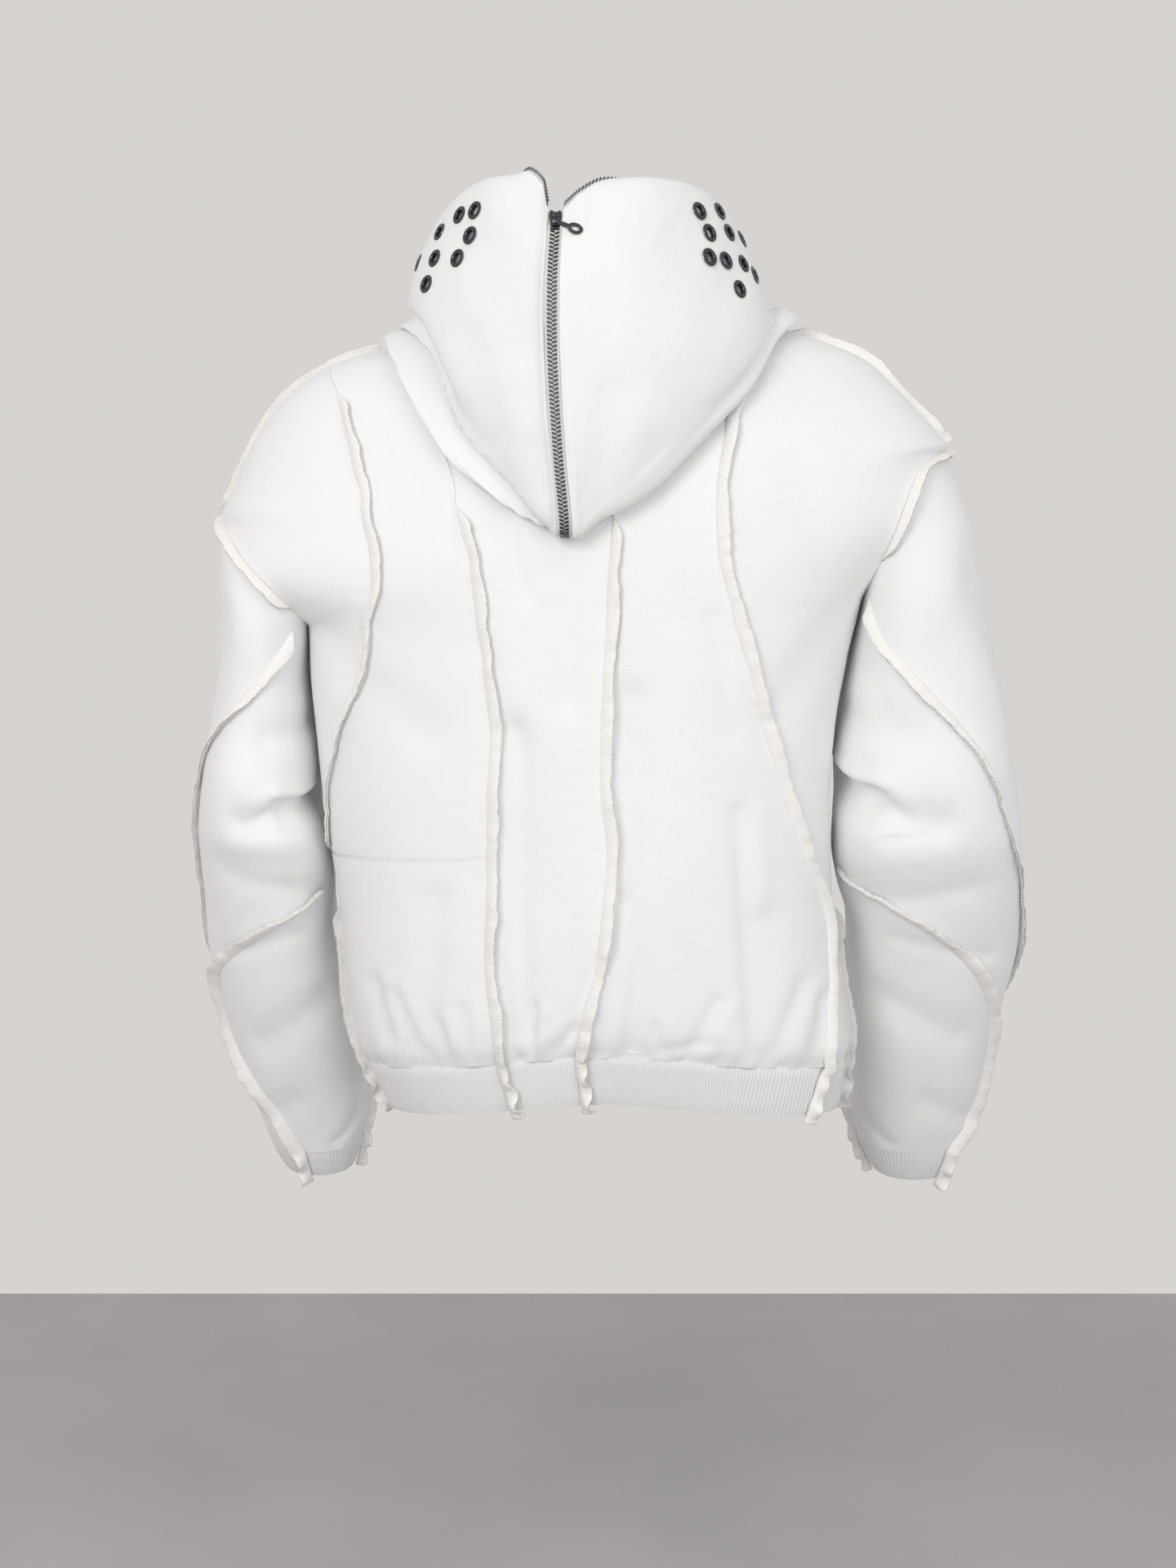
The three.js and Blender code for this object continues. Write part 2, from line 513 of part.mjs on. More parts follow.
// Closed wall between a grid of outer points and the same grid moved in along its normals.
function wallGeometry(points, normals, thick, wrap = false) {
  const rows = points.length;
  const cols = points[0].length;
  const position = [];
  for (const depth of [0, thick]) {
    for (let i = 0; i < rows; i += 1) {
      for (let j = 0; j < cols; j += 1) {
        const p = points[i][j].clone().addScaledVector(normals[i][j], -depth);
        position.push(p.x, p.y, p.z);
      }
    }
  }
  const outer = (i, j) => i * cols + (j % cols);
  const inner = (i, j) => rows * cols + i * cols + (j % cols);
  const index = [];
  const quad = (a, b, c, d) => index.push(a, b, c, a, c, d);
  const across = wrap ? cols : cols - 1;
  for (let i = 0; i < rows - 1; i += 1) {
    for (let j = 0; j < across; j += 1) {
      quad(outer(i, j), outer(i, j + 1), outer(i + 1, j + 1), outer(i + 1, j));
      quad(inner(i, j), inner(i + 1, j), inner(i + 1, j + 1), inner(i, j + 1));
    }
  }
  for (let j = 0; j < across; j += 1) {
    quad(outer(0, j + 1), outer(0, j), inner(0, j), inner(0, j + 1));
    quad(outer(rows - 1, j), outer(rows - 1, j + 1), inner(rows - 1, j + 1), inner(rows - 1, j));
  }
  if (!wrap) {
    for (let i = 0; i < rows - 1; i += 1) {
      quad(outer(i, 0), outer(i + 1, 0), inner(i + 1, 0), inner(i, 0));
      quad(outer(i + 1, cols - 1), outer(i, cols - 1), inner(i, cols - 1), inner(i + 1, cols - 1));
    }
  }
  return facingOut(position, index);
}

function facingOut(position, index) {
  let volume = 0;
  const at = i => new THREE.Vector3(position[3 * i], position[3 * i + 1], position[3 * i + 2]);
  for (let i = 0; i < index.length; i += 3) {
    volume += at(index[i]).dot(at(index[i + 1]).cross(at(index[i + 2])));
  }
  if (volume < 0) {
    for (let i = 0; i < index.length; i += 3) [index[i + 1], index[i + 2]] = [index[i + 2], index[i + 1]];
  }
  const geometry = new THREE.BufferGeometry();
  geometry.setAttribute('position', new THREE.Float32BufferAttribute(position, 3));
  geometry.setIndex(index);
  return geometry;
}

// A strip of four-cornered section, given as the corners at each of its stations.
function stripGeometry(stations) {
  const position = [];
  for (const corners of stations) {
    for (const p of corners) position.push(p.x, p.y, p.z);
  }
  const index = [];
  const quad = (a, b, c, d) => index.push(a, b, c, a, c, d);
  for (let i = 0; i < stations.length - 1; i += 1) {
    for (let k = 0; k < 4; k += 1) {
      const next = (k + 1) % 4;
      quad(4 * i + k, 4 * i + next, 4 * i + 4 + next, 4 * i + 4 + k);
    }
  }
  const end = 4 * (stations.length - 1);
  quad(3, 2, 1, 0);
  quad(end, end + 1, end + 2, end + 3);
  return facingOut(position, index);
}

// A raised raw seam: it stands on a line of points, leans over and its free edge waves.
function flangeGeometry(line, { high = FLANGE_HIGH, lean = 52, wave = 9, pitch = 2.3, phase = 0 } = {}) {
  const stations = line.map(({ point, normal }, i) => {
    const before = line[Math.max(i - 1, 0)].point;
    const after = line[Math.min(i + 1, line.length - 1)].point;
    const side = after.clone().sub(before).normalize().cross(normal).normalize();
    const swing = (lean + wave * Math.sin(i * pitch + phase)) * DEG;
    const rise = high * (1 + 0.12 * Math.sin(i * 1.7 + phase));
    const up = normal.clone().multiplyScalar(Math.cos(swing)).addScaledVector(side, Math.sin(swing));
    const base = point.clone().addScaledVector(normal, FLANGE_LIFT);
    const foot = side.clone().multiplyScalar(FLANGE_WALL / 2 / Math.cos(Math.min(Math.abs(swing), 55 * DEG)));
    const top = up.multiplyScalar(rise);
    return [
      base.clone().sub(foot), base.clone().add(foot),
      base.clone().add(foot).add(top), base.clone().sub(foot).add(top),
    ];
  });
  return stripGeometry(stations);
}

const clothMaterial = new THREE.MeshStandardMaterial({ color: '#f2f2f3', roughness: 0.92, metalness: 0 });
const ribMaterial = new THREE.MeshStandardMaterial({ color: '#ececec', roughness: 0.95, metalness: 0 });
const edgeMaterial = new THREE.MeshStandardMaterial({ color: '#f3f1ee', roughness: 0.97, metalness: 0 });
const tapeMaterial = new THREE.MeshStandardMaterial({ color: '#dcdcdd', roughness: 0.7, metalness: 0.2 });
const metalMaterial = new THREE.MeshStandardMaterial({ color: '#4b4a4c', roughness: 0.25, metalness: 1 });

const hoodie = new THREE.Group();
function place(name, geometry, material) {
  const mesh = new THREE.Mesh(geometry, material);
  mesh.name = name;
  hoodie.add(mesh);
  return mesh;
}

// One panel of the body between two seams, row by row; an armhole edge takes the mitre.
function bodyPanel(name, rows, from, to, cols, arms = {}) {
  const points = [];
  const normals = [];
  for (const v of rows) {
    const a = from(v);
    const b = to(v);
    const trim = SEAM_GAP / 2 / torso(a, v).setZ(0).length() / DEG;
    const line = [];
    const lineNormals = [];
    for (let j = 0; j <= cols; j += 1) {
      const phi = a + trim + (b - a - 2 * trim) * j / cols;
      line.push(torso(phi, v));
      lineNormals.push(torsoNormal(phi, v));
    }
    for (const [side, j] of [[arms.first, 0], [arms.last, cols]]) {
      if (!side || v < ARM_LOW || v > ARM_TOP) continue;
      const q = 2 * (ARM_TOP - v) * (arms.front ? -1 : 1);
      const { mitre, across } = armholeFrame(side, q);
      line[j] = armholeAt(side, q).addScaledVector(across, -ARM_GAP / 2);
      if (v === ARM_LOW || v === ARM_TOP) line[j].y += (arms.front ? -0.5 : 0.5) * SEAM_GAP;
      lineNormals[j] = mitre;
    }
    points.push(line);
    normals.push(lineNormals);
  }
  place(name, wallGeometry(points, normals, WALL), clothMaterial);
}

const rowsFrom = (low, high) => Array.from({ length: high - low + 1 }, (_, i) => low + i);
const allRows = rowsFrom(0, LAST_ROW);
const FRONT_ROWS = [0, 1, 2, 3, 4, 6, 8, 9, 10, 11, 12, 13, 14, 15, 16, 18, 20, 22];
const zipTrim = v => ZIP_HALF / Math.abs(torso(270, v).y) / DEG;

function makeBody() {
  bodyPanel('back_panel_1', rowsFrom(...S1_ROWS), leftOfBack, v => seamAngle('s1', v), 3, { first: 'left' });
  bodyPanel('back_panel_2', allRows, s1OrEdge, v => seamAngle('s2', v), 6);
  bodyPanel('back_panel_3', allRows, v => seamAngle('s2', v), v => seamAngle('s3', v), 6);
  bodyPanel('back_panel_4', allRows, v => seamAngle('s3', v), s4OrEdge, 7);
  bodyPanel('back_panel_5', rowsFrom(...S4_ROWS), v => seamAngle('s4', v), rightOfBack, 6, { last: 'right' });
  bodyPanel('front_left', FRONT_ROWS, v => -90 + zipTrim(v), v => -edgeAngle(true, v), 8,
    { last: 'left', front: true });
  bodyPanel('front_right', FRONT_ROWS, v => -edgeAngle(false, v), v => -90 - zipTrim(v), 8,
    { first: 'right', front: true });
}

function makeHemRib() {
  const points = [[], []];
  const normals = [[], []];
  const trim = ZIP_HALF / HEM_BOTTOM.fy / DEG;
  const count = 2 * HEM_RIBS;
  for (let j = 0; j <= count; j += 1) {
    const phi = -90 + trim + (360 - 2 * trim) * j / count;
    const rise = j % 2 ? RIB_RISE : 0;
    [0, 1].forEach(h => {
      const n = normalOf(hemPoint, phi, h, 0.5, 0.05, new THREE.Vector3(0, 0, -640));
      const p = hemPoint(phi, h);
      if (h === 0) p.z -= SEAM_GAP + 1.2;
      points[h].push(p.addScaledVector(n, rise));
      normals[h].push(n.clone().multiplyScalar((RIB_WALL + rise) / RIB_WALL));
    });
  }
  place('hem_rib', wallGeometry(points, normals, RIB_WALL), ribMaterial);
}

function sleevePanel(side, name, rings, from, to, shares) {
  const points = [];
  const normals = [];
  for (const w of rings) {
    const a = from(w);
    const b = to(w);
    const trim = SLEEVE_GAP / 2 / TURN_MM;
    const line = [];
    const lineNormals = [];
    shares.forEach((share, j) => {
      const q = a + trim + (b - a - 2 * trim) * share;
      if (w === 0) {
        const exact = a + (b - a) * share;
        const { mitre, across, tangent } = armholeFrame(side, exact);
        const nudge = j === 0 ? SLEEVE_GAP / 2 : (share === 1 ? -SLEEVE_GAP / 2 : 0);
        line.push(armholeAt(side, exact).addScaledVector(across, ARM_GAP / 2).addScaledVector(tangent, nudge));
        lineNormals.push(mitre);
      } else {
        line.push(sleeve(side, q, w));
        lineNormals.push(sleeveNormal(side, q, w));
      }
    });
    points.push(line);
    normals.push(lineNormals);
  }
  place(`sleeve_${side}_${name}`, wallGeometry(points, normals, WALL), clothMaterial);
}

function makeSleeve(side) {
  const under = 12;
  const start = B_START[side];
  const fine = [
    ...rowsFrom(0, start), ...[0.5, 1, 1.5, 2, 2.5].map(w => start + w), ...rowsFrom(start + 3, SLEEVE_RINGS),
  ];
  const turnA = w => turnAt(side, 'a', w);
  const turnB = w => turnAt(side, 'b', w);
  const topTurns = [-12, -10, -8, -6, -4, -2, 0, 1, 2, 3, 4, 5, 6, 7, 8, 9, 10];
  const evenly = cols => rowsFrom(0, cols).map(j => j / cols);
  const topShares = topTurns.map(q => (q + 12) / 22);
  sleevePanel(side, 'top', rowsFrom(0, SLEEVE_RINGS), () => under - 24, turnA, topShares);
  sleevePanel(side, 'back', fine, turnA, turnB, evenly(6));
  sleevePanel(side, 'lower', fine.filter(w => w >= start), turnB, () => under, evenly(4));
}

// The ribbed cuff carries the last ring on to its own smaller one.
function makeCuff(side) {
  const low = CUFFS[side];
  const count = 2 * CUFF_RIBS;
  const points = [[], []];
  const normals = [[], []];
  for (let j = 0; j < count; j += 1) {
    const q = 24 * j / count;
    const top = ovalPoint(side, RINGS[side][SLEEVE_RINGS], q);
    const bottom = ovalPoint(side, low, q);
    const down = bottom.clone().sub(top).normalize();
    const n = sleeveNormal(side, q, SLEEVE_RINGS);
    n.addScaledVector(down, -n.dot(down)).normalize();
    const rise = j % 2 ? RIB_RISE : 0;
    points[0].push(top.addScaledVector(down, SEAM_GAP + 0.6).addScaledVector(n, rise));
    points[1].push(bottom.addScaledVector(n, rise));
    normals[0].push(n.clone().multiplyScalar((RIB_WALL + rise) / RIB_WALL));
    normals[1].push(normals[0][j]);
  }
  place(`cuff_${side}`, wallGeometry(points, normals, RIB_WALL, true), ribMaterial);
}

// The same shape with each corner held once, so its faces share their edges exactly.
function welded(geometry) {
  const bare = geometry.clone();
  for (const name of Object.keys(bare.attributes)) {
    if (name !== 'position') bare.deleteAttribute(name);
  }
  return mergeVertices(bare, 1e-4);
}

// Closed meshes go to manifold-3d to be cut or joined, and come back as geometry.
const wasm = await Module();
wasm.setup();
function toSolid(geometry) {
  const merged = welded(geometry);
  return new wasm.Manifold(new wasm.Mesh({
    numProp: 3,
    vertProperties: new Float32Array(merged.attributes.position.array),
    triVerts: new Uint32Array(merged.index.array),
  }));
}
function toGeometry(solid) {
  const mesh = solid.getMesh();
  const geometry = new THREE.BufferGeometry();
  geometry.setAttribute('position', new THREE.Float32BufferAttribute(mesh.vertProperties, 3));
  geometry.setIndex(Array.from(mesh.triVerts));
  return geometry;
}

// Eyelets on each side of the hood: the column u they sit on and their share s of its length.
const EYELETS = {
  left: table(['u', 's'], [
    [4.1, 0.885], [3.55, 0.895], [4.8, 0.85], [3.55, 0.85],
    [4.6, 0.795], [3.8, 0.805], [4.65, 0.74], [5.6, 0.755],
  ]),
  right: table(['u', 's'], [
    [4.55, 0.885], [4.75, 0.835], [4.6, 0.785], [5.4, 0.885], [5.55, 0.83], [6.33, 0.812], [5.1, 0.765],
    [5.75, 0.745], [5.35, 0.69], [6.2, 0.7],
  ]),
};

function frameAt(side, u, s) {
  const origin = hood(side, u, s);
  const out = hoodNormal(side, u, s);
  const up = hood(side, u, s + 0.01).sub(hood(side, u, s - 0.01)).normalize();
  const right = up.clone().cross(out).normalize();
  return new THREE.Matrix4().makeBasis(right, out.clone().cross(right).normalize(), out).setPosition(origin);
}

function makeHoodHalf(side) {
  const rows = HOOD_TABLES[side];
  const cols = rows.length - 1;
  const points = [];
  const normals = [];
  for (let j = 0; j <= HOOD_STEPS; j += 1) {
    const s = j / HOOD_STEPS;
    const line = [];
    const lineNormals = [];
    for (let i = 0; i <= cols; i += 1) {
      line.push(hoodPoint(side, i, s));
      lineNormals.push(hoodEdgeNormal(side, i, s));
    }
    points.push(line);
    normals.push(lineNormals);
  }
  let solid = toSolid(wallGeometry(points, normals, WALL));
  const drill = new THREE.CylinderGeometry(EYELET.cut, EYELET.cut, 12, 8).rotateX(Math.PI / 2);
  EYELETS[side].forEach(({ u, s }, k) => {
    const frame = frameAt(side, u, s);
    solid = solid.subtract(toSolid(drill.clone().applyMatrix4(frame)));
    const { hole, barrel, rim, rise, deep, seat, round, dip } = EYELET;
    const profile = [
      [hole, -deep], [barrel, -deep], [barrel, seat], [rim, seat], [rim - round, rise], [hole, rise - dip],
      [hole, -deep],
    ];
    const ring = welded(new THREE.LatheGeometry(profile.map(([x, y]) => new THREE.Vector2(x, y)), 8));
    ring.rotateX(Math.PI / 2).applyMatrix4(frame);
    place(`eyelet_${side}_${k + 1}`, ring, metalMaterial);
  });
  place(`hood_${side}`, toGeometry(solid), clothMaterial);
}

// Stations of a raised seam on the body at whole rows, with the middle of each step between them.
function withMiddles(line) {
  const out = [];
  line.forEach((here, i) => {
    out.push(here);
    const next = line[i + 1];
    if (!next) return;
    out.push({
      point: here.point.clone().lerp(next.point, 0.5),
      normal: here.normal.clone().add(next.normal).normalize(),
    });
  });
  return out;
}

// Below the body a seam runs on over the hem rib and hangs a little past its edge.
function hemStations(phi, drift) {
  return [1.14, 0.86, 0.6, 0.34, 0.1].map(h => {
    const angle = phi + drift * h;
    const normal = normalOf(hemPoint, angle, Math.min(h, 0.95), 0.5, 0.05, new THREE.Vector3(0, 0, -640));
    return { point: hemPoint(angle, h).addScaledVector(normal, RIB_RISE + RIB_CLEAR), normal };
  });
}

function bodySeam(angleOf, low, high) {
  return withMiddles(rowsFrom(low, high).map(v => {
    const normal = torsoNormal(angleOf(v), v);
    const overGathers = v === 0 ? GATHER_DEEP + RIB_RISE : 0;
    return { point: torso(angleOf(v), v).addScaledVector(normal, overGathers), normal };
  }));
}

function makeBodyFlanges() {
  const back = [
    ['back_seam_1', bodySeam(v => seamAngle('s1', v), 5, 18), { lean: 45, phase: 0.4 }],
    ['back_seam_2', [...hemStations(seamAngle('s2', 0), 2), ...bodySeam(v => seamAngle('s2', v), 0, 14)],
      { lean: -50, phase: 1.2 }],
    ['back_seam_3', [...hemStations(seamAngle('s3', 0), 2), ...bodySeam(v => seamAngle('s3', v), 0, 13)],
      { lean: 50, phase: 2.1 }],
    ['back_seam_4', [...hemStations(seamAngle('s4', 0), -2), ...bodySeam(v => seamAngle('s4', v), 0, 18)],
      { lean: -55, phase: 0.9 }],
    ['side_seam_left', [...hemStations(0, 0), ...bodySeam(() => 0, 0, 4)], { lean: 35, phase: 0.2 }],
    ['side_seam_right', [...hemStations(180, 0), ...bodySeam(() => 180, 0, 4)], { lean: -35, phase: 1.7 }],
    ['shoulder_seam_left', bodySeam(() => 0, ARM_TOP + 1, 19), { lean: 25, phase: 0.5 }],
    ['shoulder_seam_right', bodySeam(() => 180, ARM_TOP + 1, 19), { lean: -25, phase: 1.1 }],
  ];
  for (const [name, line, shape] of back) place(name, flangeGeometry(line, shape), edgeMaterial);
}

function sleeveSeam(side, turnOf, low, high) {
  const steps = rowsFrom(2 * low, 2 * high).map(i => i / 2);
  return steps.map(w => {
    const normal = sleeveNormal(side, turnOf(w), w);
    const overCuff = w === SLEEVE_RINGS ? RIB_RISE + 0.3 : 0;
    return { point: sleeve(side, turnOf(w), w).addScaledVector(normal, overCuff), normal };
  });
}

function cuffStations(side, q) {
  const top = ovalPoint(side, RINGS[side][SLEEVE_RINGS], q);
  const bottom = ovalPoint(side, CUFFS[side], q);
  const normal = sleeveNormal(side, q, SLEEVE_RINGS);
  return [0.2, 0.5, 0.8, 1.15].map(t => ({
    point: top.clone().lerp(bottom, t).addScaledVector(normal, RIB_RISE + RIB_CLEAR), normal,
  }));
}

function makeSleeveFlanges(side) {
  const flip = side === 'left' ? 1 : -1;
  const turnA = w => turnAt(side, 'a', w);
  const turnB = w => turnAt(side, 'b', w);
  const end = SLEEVE_RINGS;
  const arm = rowsFrom(-9, 9).map(q => {
    const { mitre } = armholeFrame(side, q);
    const notch = 1.6 * Math.sin(Math.abs(q) * 10 * DEG);
    return { point: armholeAt(side, q).addScaledVector(mitre, notch), normal: mitre };
  });
  place(`armhole_seam_${side}`, flangeGeometry(arm, { lean: 0, wave: 6, phase: 0.3 }), edgeMaterial);
  place(`sleeve_seam_a_${side}`,
    flangeGeometry([...sleeveSeam(side, turnA, 1, end), ...cuffStations(side, turnA(end))],
      { lean: 26 * flip, phase: 0.8 }), edgeMaterial);
  place(`sleeve_seam_b_${side}`,
    flangeGeometry([...sleeveSeam(side, turnB, B_START[side] + 1, end), ...cuffStations(side, turnB(end))],
      { lean: -26 * flip, phase: 1.9 }), edgeMaterial);
  place(`under_seam_${side}`,
    flangeGeometry([...sleeveSeam(side, () => 12, 8, end), ...cuffStations(side, 12)],
      { lean: -30 * flip, phase: 2.6 }), edgeMaterial);
}

// A closed zip between two panels, flat across X, from its centre line and normals.
function tapeGeometry(line) {
  return stripGeometry(line.map(({ point, normal }) => {
    const inner = point.clone().addScaledVector(normal, -TAPE_THICK);
    const across = new THREE.Vector3(TAPE_WIDE / 2, 0, 0);
    return [
      point.clone().sub(across), point.clone().add(across),
      inner.clone().add(across), inner.clone().sub(across),
    ];
  }));
}

const lastColumn = side => HOOD_TABLES[side].length - 1;
function zipPoint(u, s) {
  const p = hood('left', u, s);
  const normal = hoodNormal('left', u, s).setX(0).normalize();
  if (u > 0) p.x = 0;
  return { point: p, normal };
}

// The slider stands at the top of its closed zip; its middle and lower end as shares of a column.
function sliderPlace(u) {
  hood('left', u, 0);
  const length = hoodCurves.get(`left ${u.toFixed(4)}`).getLength();
  const reach = SLIDER.long / 2 + 0.5;
  return { middle: 1 - reach / length, low: 1 - (2 * reach + 0.3) / length };
}

function makeZips() {
  const step = 1 / HOOD_STEPS;
  const upTo = (u, from) => {
    const { low } = sliderPlace(u);
    const shares = [];
    for (let j = from; j * step < low; j += 1) shares.push(j * step);
    return [...shares, low].map(s => zipPoint(u, s));
  };
  const hoodLine = upTo(0, HOOD_ZIP_FROM);
  place('hood_zip', tapeGeometry(hoodLine), tapeMaterial);
  const frontLine = [1, 0].map(h => ({
    point: hemPoint(270, h).addScaledVector(new THREE.Vector3(0, 0, h === 0 ? -2 : 0), 1),
    normal: new THREE.Vector3(0, -1, 0),
  }));
  for (let v = 0; v < LAST_ROW; v += 1) {
    frontLine.push({ point: torso(270, v), normal: torsoNormal(270, v).setX(0).normalize() });
  }
  frontLine.push(...upTo(lastColumn('left'), FRONT_ZIP_FROM));
  place('front_zip', tapeGeometry(frontLine), tapeMaterial);
  for (const side of ['left', 'right']) {
    const stations = [];
    for (let i = 0; i <= lastColumn(side); i += 1) {
      const rim = hoodPoint(side, i, 1);
      const out = rim.clone().sub(hoodPoint(side, i, 0.985)).normalize();
      const normal = hoodEdgeNormal(side, i, 1);
      const near = rim.clone().addScaledVector(out, ROW_GAP);
      const far = rim.clone().addScaledVector(out, ROW_GAP + ROW_WIDE);
      stations.push([near, far, far.clone().addScaledVector(normal, -TAPE_THICK),
        near.clone().addScaledVector(normal, -TAPE_THICK)]);
    }
    place(`open_zip_${side}`, stripGeometry(stations), tapeMaterial);
  }
}

function joinSolids(geometries) {
  return toGeometry(geometries.map(toSolid).reduce((a, b) => a.add(b)));
}

function outlineShape(points) {
  const shape = new THREE.Shape();
  points.forEach(([x, y], i) => (i ? shape.lineTo(x, y) : shape.moveTo(x, y)));
  shape.closePath();
  return shape;
}

// A slider's body with the headed post that its pull swings on; local X across, Y up the zip.
function sliderGeometry() {
  const half = SLIDER.wide / 2;
  const end = SLIDER.long / 2;
  const edge = [
    [0.7 * half, -end], [0.82 * half, -0.3 * end], [half, 0.35 * end], [0.94 * half, 0.82 * end],
    [0.62 * half, end], [0.25 * half, 0.82 * end],
  ];
  const mirrored = edge.map(([x, y]) => [-x, y]).reverse();
  const body = new THREE.ExtrudeGeometry(outlineShape([...edge, [0, 0.6 * end], ...mirrored]),
    { depth: SLIDER.front - SLIDER.back, bevelEnabled: false }).translate(0, 0, SLIDER.back);
  const postLong = SLIDER.postHigh + 0.4;
  const post = new THREE.CylinderGeometry(SLIDER.post, SLIDER.post, postLong, 10).rotateX(Math.PI / 2)
    .translate(0, SLIDER.postAt, SLIDER.front + SLIDER.postHigh - postLong / 2);
  const head = new THREE.CylinderGeometry(SLIDER.head * 0.8, SLIDER.head, SLIDER.cap, 12).rotateX(Math.PI / 2)
    .translate(0, SLIDER.postAt, SLIDER.front + SLIDER.postHigh + SLIDER.cap / 2 - 0.05);
  return joinSolids([body, post, head]);
}

// The pull lies along +X from its eye on the post: a slim neck, then an oval end with a slot.
function pullGeometry() {
  const { eye, hole, thick, lift, long, neck, bulb, slotLong, slotWide } = PULL;
  const outline = new THREE.Shape();
  const eyeAngle = Math.asin(neck / eye);
  outline.absarc(0, 0, eye, eyeAngle, 2 * Math.PI - eyeAngle, false);
  const bulbAt = long - 1.45 * bulb;
  outline.lineTo(bulbAt - 1.3 * bulb, -neck);
  outline.absellipse(bulbAt, 0, 1.45 * bulb, bulb, -2.3, 2.3, false);
  outline.lineTo(bulbAt - 1.3 * bulb, neck);
  outline.closePath();
  const eyeHole = new THREE.Path();
  eyeHole.absarc(0, 0, hole, 0, 2 * Math.PI, true);
  const slot = new THREE.Path();
  slot.absellipse(bulbAt, 0, slotLong, slotWide, 0, 2 * Math.PI, true);
  outline.holes.push(eyeHole, slot);
  return new THREE.ExtrudeGeometry(outline, { depth: thick, bevelEnabled: false, curveSegments: 5 })
    .translate(0, 0, SLIDER.front + lift);
}

function makeSlider(name, { point, normal }, up, pullAngle) {
  const out = normal.clone();
  const right = up.clone().cross(out).normalize();
  const frame = new THREE.Group();
  frame.matrix.makeBasis(right, out.clone().cross(right).normalize(), out).setPosition(point);
  frame.matrix.decompose(frame.position, frame.quaternion, frame.scale);
  hoodie.add(frame);
  const body = new THREE.Mesh(sliderGeometry(), metalMaterial);
  body.name = `${name}_slider`;
  frame.add(body);
  const pull = new THREE.Mesh(pullGeometry(), metalMaterial);
  pull.name = `${name}_pull`;
  pull.position.set(0, SLIDER.postAt, 0);
  pull.rotation.z = pullAngle * DEG;
  frame.add(pull);
}

function makeSliders() {
  for (const [name, u, angle] of [['hood', 0, -18], ['front', lastColumn('left'), -90]]) {
    const s = sliderPlace(u).middle;
    const here = zipPoint(u, s);
    if (u === 0) here.normal = hoodNormal('right', u, s);
    const up = zipPoint(u, s + 0.004).point.sub(zipPoint(u, s - 0.004).point).normalize();
    makeSlider(name, here, up, angle);
  }
}

makeBody();
makeHemRib();
makeBodyFlanges();
for (const side of ['left', 'right']) {
  makeSleeve(side);
  makeCuff(side);
  makeSleeveFlanges(side);
  makeHoodHalf(side);
}
makeZips();
makeSliders();

export default hoodie;
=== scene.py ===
# %% [markdown]
# # Zip up hoodie, seen from behind
#
# A heavy loopback jersey hoodie, worn and hollow. It is sewn from panels with their raw seams turned to
# the outside, has ribbed hem and cuffs, and a long zip that carries on over the back of the hood.
#
# The imported solids give every piece its place. This script gives each piece its finer form: cloth as thin
# walls on smooth surfaces with creases given one by one, seams with their overlocked edges, knitted ribs and
# zips with single teeth. Lengths are millimetres until a mesh is made. +Z is up, -Y the wearer's front,
# and +X the wearer's left, which is the left of the picture.

# %% The frame
import math

import bpy
import numpy as np
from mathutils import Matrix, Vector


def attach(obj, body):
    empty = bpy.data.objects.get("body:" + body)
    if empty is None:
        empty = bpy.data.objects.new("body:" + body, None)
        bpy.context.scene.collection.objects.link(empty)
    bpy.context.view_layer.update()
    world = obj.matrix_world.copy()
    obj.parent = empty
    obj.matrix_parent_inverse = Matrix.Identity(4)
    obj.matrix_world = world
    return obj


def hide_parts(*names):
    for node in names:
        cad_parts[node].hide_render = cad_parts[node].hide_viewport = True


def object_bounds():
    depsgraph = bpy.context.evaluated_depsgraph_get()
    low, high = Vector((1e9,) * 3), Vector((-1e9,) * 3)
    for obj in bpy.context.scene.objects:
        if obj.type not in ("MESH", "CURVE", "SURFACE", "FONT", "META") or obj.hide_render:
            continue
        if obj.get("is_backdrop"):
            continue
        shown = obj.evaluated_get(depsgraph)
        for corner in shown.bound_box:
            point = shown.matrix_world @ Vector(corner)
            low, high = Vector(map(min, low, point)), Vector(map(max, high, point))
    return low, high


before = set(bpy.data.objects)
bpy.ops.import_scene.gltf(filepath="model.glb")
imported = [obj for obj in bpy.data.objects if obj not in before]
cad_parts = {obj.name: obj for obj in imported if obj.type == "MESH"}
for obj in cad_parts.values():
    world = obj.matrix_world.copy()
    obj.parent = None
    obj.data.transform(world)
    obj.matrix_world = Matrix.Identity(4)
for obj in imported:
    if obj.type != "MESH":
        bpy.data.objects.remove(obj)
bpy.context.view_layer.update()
MM = 0.001
rng = np.random.default_rng(7)
print("frame:", len(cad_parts), "solids")

# %% [markdown]
# ## Numbers of the body, sleeves and hood
#
# The garment could be a cloth simulation over a body, but its seams and folds would then land in other
# places than the photo shows. So it is drawn instead: rows of widths and depths, read on smooth curves.

